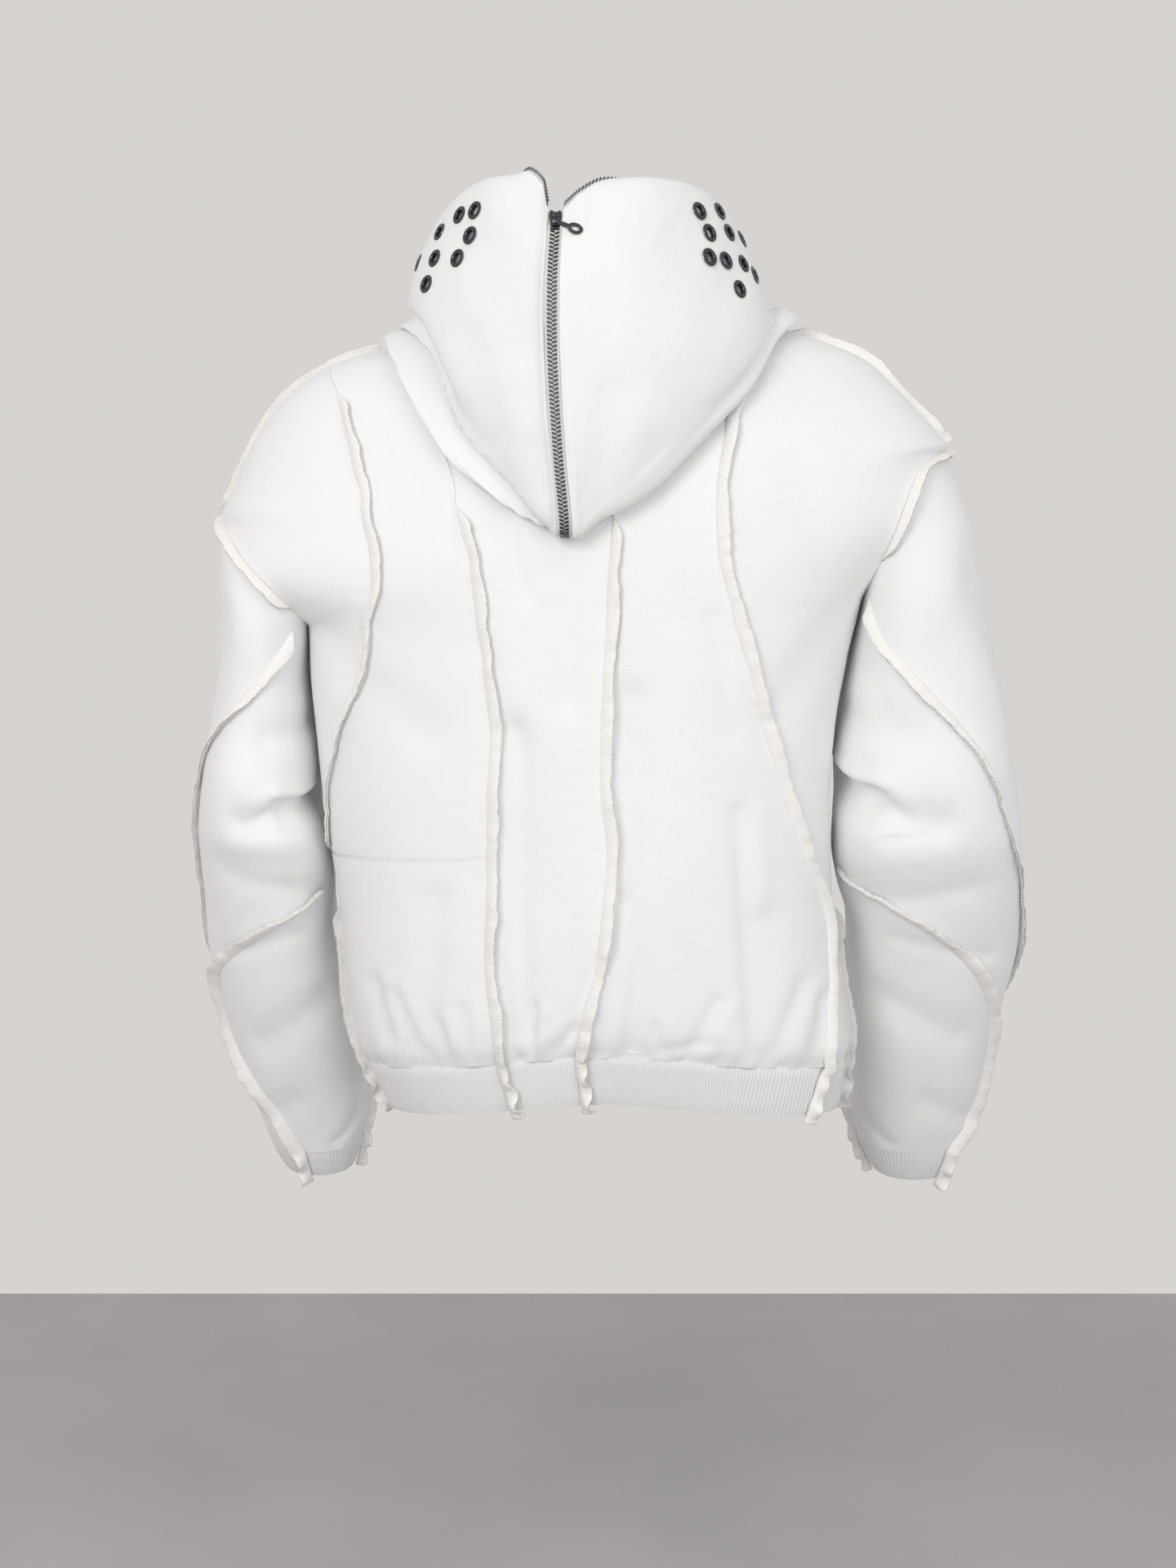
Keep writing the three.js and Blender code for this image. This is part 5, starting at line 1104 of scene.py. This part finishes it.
def ribbon_mesh(name, points, faces, material, uv):
    """A closed mesh from faces of three or four corners, turned so that it faces outward."""
    mesh = bpy.data.meshes.new(name)
    mesh.from_pydata((points * MM).tolist(), [], faces)
    volume = 0.0
    corner = points[np.array([f[:3] for f in faces])]
    volume += np.sum(corner[:, 0] * np.cross(corner[:, 1], corner[:, 2]))
    fourth = np.array([[f[0], f[2], f[3]] for f in faces if len(f) == 4])
    corner = points[fourth]
    volume += np.sum(corner[:, 0] * np.cross(corner[:, 1], corner[:, 2]))
    if volume < 0:
        mesh.flip_normals()
    mesh.polygons.foreach_set("use_smooth", np.ones(len(faces), bool))
    loops = np.empty(len(mesh.loops), np.int32)
    mesh.loops.foreach_get("vertex_index", loops)
    mesh.uv_layers.new(name="cloth").data.foreach_set("uv", (uv[loops] * MM).reshape(-1).astype(np.float32))
    mesh.materials.append(material)
    piece = bpy.data.objects.new(name, mesh)
    bpy.context.scene.collection.objects.link(piece)
    return piece


def body_line(angle, low, high):
    """A line up the body's surface at an angle that changes from row to row, with its normals."""
    v = np.linspace(low, high, int((high - low) * 12) + 1)
    phi = angle(v) + 0 * v
    normals = torso_normal(phi, v)
    over_gathers = 2.9 * np.clip(1 - v / 0.7, 0, 1)
    return torso(phi, v, fine=True) + normals * over_gathers[:, None], normals


def hem_line(phi, drift):
    """The same line where it runs on down over the hem band and hangs past its edge."""
    h = np.linspace(1.14, 0.1, 12)
    angle = phi + drift * h
    normals = hem_normal(angle, h)
    return hem_point(angle, h) + normals * (RIB_RISE + RIB_CLEAR), normals


def joined(*lines):
    """Lines put end to end."""
    return np.concatenate([points for points, _ in lines]), np.concatenate([normals for _, normals in lines])


def at_row_zero(angle):
    """The angle of a seam at the top of the hem band."""
    return float(np.asarray(angle(np.array([0.0])))[0])


edges, seam_metres = {}, 0.0
# Each row: the solid's name, its angle, first and last body row, its drift over the hem or None where it
# stops above it, its lean, its phase, the length of its ruffle and its height.
BODY_SEAMS = [
    ("back_seam_1", seam_angle("s1"), 5, 18, None, 64, 0.4, 0, FLANGE_HIGH),
    ("back_seam_2", seam_angle("s2"), 0, 14, 2, 62, 1.2, 60, FLANGE_HIGH),
    ("back_seam_3", seam_angle("s3"), 0, 13, 2, 62, 2.1, 60, FLANGE_HIGH),
    ("back_seam_4", seam_angle("s4"), 0, 18, -2, 64, 0.9, 60, FLANGE_HIGH),
    ("side_seam_left", lambda v: 0 * v, 0, 4, 0, 35, 0.2, 60, FLANGE_HIGH),
    ("side_seam_right", lambda v: 0 * v + 180, 0, 4, 0, -35, 1.7, 60, FLANGE_HIGH),
    ("shoulder_seam_left", lambda v: 0 * v, 15.2, 20.6, None, 22, 0.5, 16, 6.5),
    ("shoulder_seam_right", lambda v: 0 * v + 180, 15.2, 20.6, None, -22, 1.1, 16, 8.5),
]
for node, angle, low, high, drift, lean, phase, ruffle, tall in BODY_SEAMS:
    line = body_line(angle, low, high)
    if drift is not None:
        line = joined(hem_line(at_row_zero(angle), drift), line)
    edges[node], walked = raw_seam(node, *line, lean, phase, ruffle_start=ruffle, high=tall)
    seam_metres += walked


SEAM_A_START = {"left": 0.35, "right": 0.25}


def sleeve_line(side, turn, low):
    """A line down a sleeve and on over its cuff, with its normals."""
    w = np.linspace(low, SLEEVE_END, int((SLEEVE_END - low) * 12) + 1)
    q = turn(w) + 0 * w
    normals = sleeve_normal(side, q, w)
    over_cuff = 1.2 * np.clip(1 - (SLEEVE_END - w) / 0.4, 0, 1)
    points = sleeve(side, q, w) + normals * over_cuff[:, None]
    t = np.linspace(0.2, 1.15, 9)[:, None]
    top = oval_point(side, RINGS[side][SLEEVE_END], q[-1:])
    bottom = oval_point(side, CUFFS[side], q[-1:])
    cuff_points = top + (bottom - top) * t + normals[-1:] * (RIB_RISE + RIB_CLEAR)
    return joined((points, normals), (cuff_points, np.repeat(normals[-1:], len(t), 0)))


def armhole_line(side):
    """The armhole's seam from under the arm in front over the shoulder to the back."""
    q = np.linspace(-9, 9, 150)
    left = side == "left"
    k = np.abs(q) / 2
    phi = edge_angle(left, ARM_TOP - k)
    phi = np.where(q >= 0, phi, -phi)
    inner = 1.5 if left else -1.5
    normals = torso_normal(phi + np.where(q > 0, inner, -inner), ARM_TOP - k)
    normals = unit(normals + sleeve_normal(side, q, np.full(q.shape, 0.12)))
    notch = 1.6 * np.sin(np.radians(np.abs(q) * 10))
    return armhole_at(side, q) + normals * notch[:, None], normals


for side in ("left", "right"):
    flip = 1 if side == "left" else -1
    turn_a, turn_b = turn_of(side, TURN_A), turn_of(side, TURN_B)
    sleeve_seams = [
        (f"armhole_seam_{side}", armhole_line(side), 20 * flip, 0.3, 0, 9.5),
        (f"sleeve_seam_a_{side}", sleeve_line(side, turn_a, SEAM_A_START[side]), -58 * flip, 0.8, 50, 10.0),
        (f"sleeve_seam_b_{side}", sleeve_line(side, turn_b, B_START[side] + 0.3), 58 * flip, 1.9, 50, 12.5),
        (f"under_seam_{side}", sleeve_line(side, lambda w: 0 * w + 12, 8), -30 * flip, 2.6, 60, 9.0),
    ]
    for node, line, lean, phase, ruffle, high in sleeve_seams:
        edges[node], walked = raw_seam(node, *line, lean, phase, ruffle_end=ruffle, high=high)
        seam_metres += walked
print(f"raised seams: {len(edges)} pieces, {seam_metres * MM:.2f} m in all")

# %% [markdown]
# ## Zips
#
# A zip is two woven tapes with slanted metal teeth that lock in turn. Each tooth is its own small block,
# set along the line by its own frame, because the light-dark herringbone is what reads as a zip. Below
# the slider the rows are locked; above it each row runs open along its side of the rim.

# %% Zips
TOOTH_PITCH = 3.3
TAPE_WIDE = 11.6
TAPE_THICK = 1.6
ROW_WIDE = 5.5
ROW_GAP = 0.8
SLIDER_LONG = 15.0


def hood_zip_line(u, low, high, count):
    """The middle of a zip up a hood column, with normals that keep it square to the sides."""
    s = np.linspace(low, high, count)
    grid, length = hood_grid("left", np.array([u - 0.02, u, u + 0.02]), s)
    normals = unit(np.cross(grid[:, 2] - grid[:, 0], np.gradient(grid[:, 1], axis=0)))
    normals = -normals
    line = grid[:, 1].copy()
    normals[:, 0] = 0
    if u > 0:
        line[:, 0] = 0
    return line, unit(normals), length[1]


def walk(points, normals, step):
    """A line's points and normals at equal steps along it."""
    walked = np.concatenate([[0], np.cumsum(np.linalg.norm(np.diff(points, axis=0), axis=-1))])
    at = np.arange(0, walked[-1], step)
    line = np.stack([np.interp(at, walked, points[:, k]) for k in range(3)], -1)
    facing = np.stack([np.interp(at, walked, normals[:, k]) for k in range(3)], -1)
    return line, unit(facing)


TOOTH = np.array([
    [0.35, -0.62, -1.5], [3.5, -0.8, -1.5], [3.5, 0.8, -1.5], [0.35, 0.62, -1.5],
    [0.1, -0.78, 0.35], [3.7, -0.95, 0.35], [3.7, 0.95, 0.35], [0.1, 0.78, 0.35],
    [0.5, -0.42, 1.1], [3.2, -0.55, 1.1], [3.2, 0.55, 1.1], [0.5, 0.42, 1.1],
])
TOOTH_FACES = np.array([
    [3, 2, 1, 0], [0, 1, 5, 4], [1, 2, 6, 5], [2, 3, 7, 6], [3, 0, 4, 7],
    [4, 5, 9, 8], [5, 6, 10, 9], [6, 7, 11, 10], [7, 4, 8, 11], [8, 9, 10, 11],
])


def tooth_row(points, along, across, facing, slant=0.32):
    """One tooth at each point, slanted so that a row and its mirror make a herringbone."""
    shape = TOOTH.copy()
    shape[:, 1] += slant * shape[:, 0]
    placed = (points[:, None, :] + across[:, None, :] * shape[:, :1] + along[:, None, :] * shape[:, 1:2]
              + facing[:, None, :] * shape[:, 2:])
    count = len(points)
    faces = (TOOTH_FACES[None] + 12 * np.arange(count)[:, None, None]).reshape(-1, 4)
    if np.sum(np.cross(across[0], along[0]) * facing[0]) < 0:
        faces = faces[:, ::-1]
    return placed.reshape(-1, 3), faces


def merged(parts):
    """Several sets of points and faces as one."""
    points, faces, count = [], [], 0
    for p, f in parts:
        points.append(p)
        faces.append(f + count)
        count += len(p)
    return np.concatenate(points), np.concatenate(faces)


def closed_zip(node, line, normals):
    """Two locked rows of teeth on their tapes."""
    tape_line, tape_normals = walk(line, normals, 3.0)
    share = np.linspace(-0.5, 0.5, 9) * TAPE_WIDE
    grid = tape_line[:, None, :] + np.array([1.0, 0, 0]) * share[None, :, None]
    facing = np.broadcast_to(tape_normals[:, None, :], grid.shape)
    tape = cloth_wall(f"{node}_tape", grid - facing * 0.5, facing, TAPE_THICK - 0.5, zip_tape)
    stand_for(tape, "zip_chain", node)
    at, up = walk(line, normals, TOOTH_PITCH / 2)
    along = unit(np.gradient(at, axis=0))
    rows = []
    for first, sign in ((0, 1.0), (1, -1.0)):
        across = np.zeros(at[first::2].shape)
        across[:, 0] = sign
        rows.append(tooth_row(at[first::2], along[first::2], across, up[first::2]))
    teeth = make_mesh(f"{node}_teeth", *merged(rows), tooth_metal, crisp=30)
    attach(teeth, "hoodie")
    return tape, teeth


def open_zip(side):
    """One open row of teeth along its side of the hood's rim."""
    last = len(HOOD[side]) - 1
    u = np.linspace(0, last, 220)
    grid, _ = hood_grid(side, u, np.array([0.97, 0.985, 1.0]))
    grid = zip_shift(side, u, grid)
    out = unit(grid[2] - grid[1])
    normals = unit(np.cross(np.gradient(grid[2], axis=0), out))
    normals = -normals if side == "left" else normals
    near = grid[2] + out * ROW_GAP
    share = np.linspace(0, ROW_WIDE, 6)
    strip = near[None] + out[None] * share[:, None, None]
    facing = np.broadcast_to(normals[None], strip.shape)
    tape = cloth_wall(f"open_zip_{side}_tape", strip, facing, TAPE_THICK - 0.4, zip_tape)
    stand_for(tape, "zip_chain", f"open_zip_{side}")
    edge = near + out * (ROW_WIDE - 3.4)
    walked = np.concatenate([[0], np.cumsum(np.linalg.norm(np.diff(edge, axis=0), axis=-1))])
    at = np.arange(1.0, walked[-1], TOOTH_PITCH)
    read = [np.stack([np.interp(at, walked, a[:, k]) for k in range(3)], -1) for a in (edge, out, normals)]
    along = unit(np.gradient(read[0], axis=0))
    across = unit(read[1])
    row = tooth_row(read[0], along, across, unit(read[2]))
    teeth = make_mesh(f"open_zip_{side}_teeth", *row, tooth_metal, crisp=30)
    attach(teeth, "hoodie")
    return tape, teeth


def below_slider(length):
    """The share of a column at which its closed zip meets the slider."""
    return 1 - (SLIDER_LONG + 1.3) / length


_, _, hood_length = hood_zip_line(0.0, 0.35, 1, 4)
line, normals, _ = hood_zip_line(0.0, 0.35, below_slider(hood_length), 160)
zips = {"hood_zip": closed_zip("hood_zip", line, normals)}

front_u = float(len(HOOD["left"]) - 1)
_, _, front_length = hood_zip_line(front_u, 0.55, 1, 4)
top_line, top_normals, _ = hood_zip_line(front_u, 0.55, below_slider(front_length), 60)
h = np.linspace(1, 0, 14)
hem_points = hem_point(270.0 + 0 * h, h) + np.array([0, -1.0, 0])
hem_normals = np.tile([0.0, -1.0, 0.0], (len(h), 1))
v = np.linspace(0.1, LAST_ROW - 1, 260)
front_points = torso(270.0 + 0 * v, v)
front_normals = torso_normal(270.0 + 0 * v, v)
front_normals[:, 0] = 0
zips["front_zip"] = closed_zip("front_zip", np.concatenate([hem_points, front_points, top_line]),
                               np.concatenate([hem_normals, unit(front_normals), top_normals]))
for side in ("left", "right"):
    zips[f"open_zip_{side}"] = open_zip(side)
print("zips:", len(zips))

# %% [markdown]
# ## Sliders, pulls and eyelets
#
# The sliders and pulls are flat castings with rounded edges, so each is an outline filled and bevelled.
# The pull swings on the slider's post and rides on its own body. An eyelet is a turned ring: a rolled rim
# outside, a barrel through the cloth and a washer behind.

# %% Hardware
def outline_points(kind, count=40):
    """Outlines in millimetres: the slider's plate, and the pull with its eye and slot."""
    if kind == "slider":
        half, end = 5.2, 7.5
        edge = [(0.7 * half, -end), (0.82 * half, -0.3 * end), (half, 0.35 * end), (0.94 * half, 0.82 * end),
                (0.62 * half, end), (0.25 * half, 0.82 * end)]
        return [edge + [(0, 0.6 * end)] + [(-x, y) for x, y in reversed(edge)]]
    eye, neck, bulb, long = 3.6, 1.8, 4.4, 23.0
    first = math.asin(neck / eye)
    around = np.linspace(first, 2 * math.pi - first, count)
    middle = long - 1.45 * bulb
    end = np.linspace(-2.3, 2.3, count)
    outer = [(eye * math.cos(a), eye * math.sin(a)) for a in around]
    outer += [(middle - 1.3 * bulb, -neck)]
    outer += [(middle + 1.45 * bulb * math.cos(a), bulb * math.sin(a)) for a in end]
    outer += [(middle - 1.3 * bulb, neck)]
    ring = np.linspace(0, 2 * math.pi, count, endpoint=False)
    hole = [(1.75 * math.cos(a), 1.75 * math.sin(a)) for a in ring]
    slot = [(middle + 3.4 * math.cos(a), 1.7 * math.sin(a)) for a in ring]
    return [outer, hole, slot]


def plate(outlines, low, high, bevel):
    """Points and faces of outlines filled, given thickness and rounded edges."""
    curve = bpy.data.curves.new("outline", "CURVE")
    curve.dimensions = "2D"
    curve.fill_mode = "BOTH"
    curve.extrude = (high - low) / 2 - bevel
    curve.bevel_depth = bevel
    curve.bevel_resolution = 2
    curve.offset = -bevel
    for outline in outlines:
        spline = curve.splines.new("POLY")
        spline.points.add(len(outline) - 1)
        spline.points.foreach_set("co", np.array([(x, y, 0, 1) for x, y in outline], np.float32).reshape(-1))
        spline.use_cyclic_u = True
    holder = bpy.data.objects.new("outline", curve)
    bpy.context.scene.collection.objects.link(holder)
    shape = bpy.data.meshes.new_from_object(holder.evaluated_get(bpy.context.evaluated_depsgraph_get()))
    bpy.data.objects.remove(holder)
    points = np.array([v.co for v in shape.vertices])
    faces = [list(p.vertices) for p in shape.polygons]
    bpy.data.meshes.remove(shape)
    points[:, 2] += (low + high) / 2
    return points, faces


def turned(profile, count=48):
    """Points and faces of a profile of radius and height turned round the Z axis; it closes on itself."""
    profile = np.array(profile, float)
    a = np.linspace(0, 2 * math.pi, count, endpoint=False)
    points = np.stack([profile[:, :1] * np.cos(a), profile[:, :1] * np.sin(a), profile[:, 1:] + 0 * a], -1)
    rows = len(profile)
    index = np.arange(rows * count).reshape(rows, count)
    index = np.concatenate([index, index[:1]])
    index = np.concatenate([index, index[:, :1]], 1)
    quads = np.stack([index[:-1, :-1], index[:-1, 1:], index[1:, 1:], index[1:, :-1]], -1).reshape(-1, 4)
    return points.reshape(-1, 3), quads.tolist()


def hardware(name, parts, origin, x_axis, out_axis, body, node):
    """Solid parts in local millimetres, set in the frame given by an origin, its X and its outward axis."""
    out_axis = unit(np.array(out_axis, float))
    x_axis = unit(np.array(x_axis, float))
    y_axis = unit(np.cross(out_axis, x_axis))
    x_axis = np.cross(y_axis, out_axis)
    points, faces, count = [], [], 0
    for p, f in parts:
        points.append(p)
        faces += [[c + count for c in face] for face in f]
        count += len(p)
    points = np.concatenate(points) @ np.stack([x_axis, y_axis, out_axis]) + np.array(origin)
    mesh = bpy.data.meshes.new(name)
    mesh.from_pydata((points * MM).tolist(), [], faces)
    mesh.polygons.foreach_set("use_smooth", np.ones(len(faces), bool))
    mesh.set_sharp_from_angle(angle=math.radians(35))
    mesh.materials.append(gunmetal)
    piece = bpy.data.objects.new(name, mesh)
    bpy.context.scene.collection.objects.link(piece)
    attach(piece, body)
    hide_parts(node)
    return piece


SLIDER_PARTS = [
    plate(outline_points("slider"), -3.1, -1.9, 0.35),
    plate(outline_points("slider"), 0.2, 1.5, 0.45),
    plate([[(-1.5, 1.0), (1.5, 1.0), (2.2, 4.4), (-2.2, 4.4)]], -2.2, 0.6, 0.2),
    plate([[(-2.4, 1.6), (2.4, 1.6), (3.1, 4.4), (1.4, 5.6), (-1.4, 5.6), (-3.1, 4.4)]], 1.2, 3.0, 0.7),
]
POST = turned([(0.01, 1.2), (1.3, 1.2), (1.3, 5.1), (2.5, 5.1), (2.3, 5.8), (1.6, 6.15), (0.01, 6.2)], 28)
POST = (POST[0] + np.array([0, -2.5, 0]), POST[1])
PULL_PARTS = [plate(outline_points("pull"), 2.9, 4.3, 0.45)]
SLIDERS = {
    "hood": ((37.57, 163.21, 77.17), (-0.9990, 0.0016, -0.0437), (-0.0073, 0.9793, 0.2025),
             (37.67, 163.72, 74.72), (-0.9368, 0.0641, -0.3438)),
    "front": ((0, -80.70, -33.97), (1, 0, 0), (0, -0.9965, 0.0837),
              (0, -80.91, -36.46), (0, -0.0837, -0.9965)),
}
for which, (origin, x_axis, out, pivot, pull_axis) in SLIDERS.items():
    hardware(f"{which}_slider_metal", [*SLIDER_PARTS, POST], origin, x_axis, out, "hoodie", f"{which}_slider")
    hardware(f"{which}_pull_metal", PULL_PARTS, pivot, pull_axis, out, f"{which}_pull", f"{which}_pull")

RIM = [(4.1, -2.6), (5.2, -2.9), (6.4, -2.7), (6.4, -2.3), (4.7, -2.2), (4.7, 0.45), (7.3, 0.4), (7.6, 0.7),
       (7.3, 1.15), (6.6, 1.42), (5.8, 1.5), (5.0, 1.35), (4.4, 0.95), (4.1, 0.3)]
counts = {"left": 0, "right": 0}
for side, place, out, along in eyelet_places:
    counts[side] += 1
    across = np.cross(along, out)
    hardware(f"eyelet_{side}_{counts[side]}_metal", [turned(RIM)], place, across, out, "hoodie",
             f"eyelet_{side}_{counts[side]}")
print("eyelets:", counts)

# %% [markdown]
# ## Light, floor and camera
#
# The photo is lit softly from the front and a little from the left, so each seam throws a faint shadow to
# its right. A large soft light does that; the pale surroundings fill the rest. The camera stands where the
# photo's did, level with the shoulder blades and looking slightly down.

# %% Light, floor and camera
def soft_light(name, place, aim, size, watts, colour):
    """A square soft light at a place, turned to face a point."""
    data = bpy.data.lights.new(name, "AREA")
    data.size = size
    data.energy = watts
    data.color = colour
    light = bpy.data.objects.new(name, data)
    light.location = place
    away = np.array(place, float) - np.array(aim, float)
    flat = math.hypot(away[0], away[1])
    light.rotation_euler = (math.atan2(flat, away[2]), 0, math.atan2(away[0], -away[1]))
    bpy.context.scene.collection.objects.link(light)
    return light


MIDDLE_OF_BACK = (0, 0, -0.4)
soft_light("key_softbox", (1.0, 2.3, 0.6), MIDDLE_OF_BACK, 1.0, 22, (1, 0.99, 0.98))
soft_light("fill_softbox", (-1.3, 2.1, -0.1), MIDDLE_OF_BACK, 1.6, 12, (0.98, 0.99, 1))

world = bpy.data.worlds.new("studio")
world.use_nodes = True
world.node_tree.nodes["Background"].inputs["Color"].default_value = linear("dedbd8")
world.node_tree.nodes["Background"].inputs["Strength"].default_value = 0.92
bpy.context.scene.world = world

floor_material, tree, shader = new_material("pale_floor", "a9a7a8", 0.8)
place_node = add_node(tree, "ShaderNodeTexCoord")
mottle = add_node(tree, "ShaderNodeTexNoise", [("Vector", place_node, "Object")], Scale=5.0, Detail=6.0)
tones = add_node(tree, "ShaderNodeMix", [("Factor", mottle, "Fac")], data_type="RGBA")
tones.inputs[6].default_value = linear("a3a1a3")
tones.inputs[7].default_value = linear("b6b4b5")
tree.links.new(tones.outputs[2], shader.inputs["Base Color"])
FLOOR_Z, WALL_FOOT_Y, FLOOR_NEAR_Y, FLOOR_HALF = -0.97, -0.344, 3.2, 3
floor_mesh = bpy.data.meshes.new("floor")
floor_corners = [(-FLOOR_HALF, WALL_FOOT_Y, FLOOR_Z), (FLOOR_HALF, WALL_FOOT_Y, FLOOR_Z),
                 (FLOOR_HALF, FLOOR_NEAR_Y, FLOOR_Z), (-FLOOR_HALF, FLOOR_NEAR_Y, FLOOR_Z)]
floor_mesh.from_pydata(floor_corners, [], [(0, 1, 2, 3)])
floor_mesh.materials.append(floor_material)
floor = bpy.data.objects.new("floor", floor_mesh)
bpy.context.scene.collection.objects.link(floor)
floor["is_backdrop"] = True

camera_data = bpy.data.cameras.new("camera")
camera_data.lens = 50.29
camera_data.sensor_width = 36
camera = bpy.data.objects.new("camera", camera_data)
camera.location = (0.012, 1.916, -0.1725)
camera.rotation_euler = (math.radians(83.66), 0, math.radians(180))
bpy.context.scene.collection.objects.link(camera)
bpy.context.scene.camera = camera
bpy.context.scene.view_settings.view_transform = "Standard"

# %% [markdown]
# ## Bounds
#
# The bounds of every shown piece are taken, leaving out the floor.

# %% Finish
low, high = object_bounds()
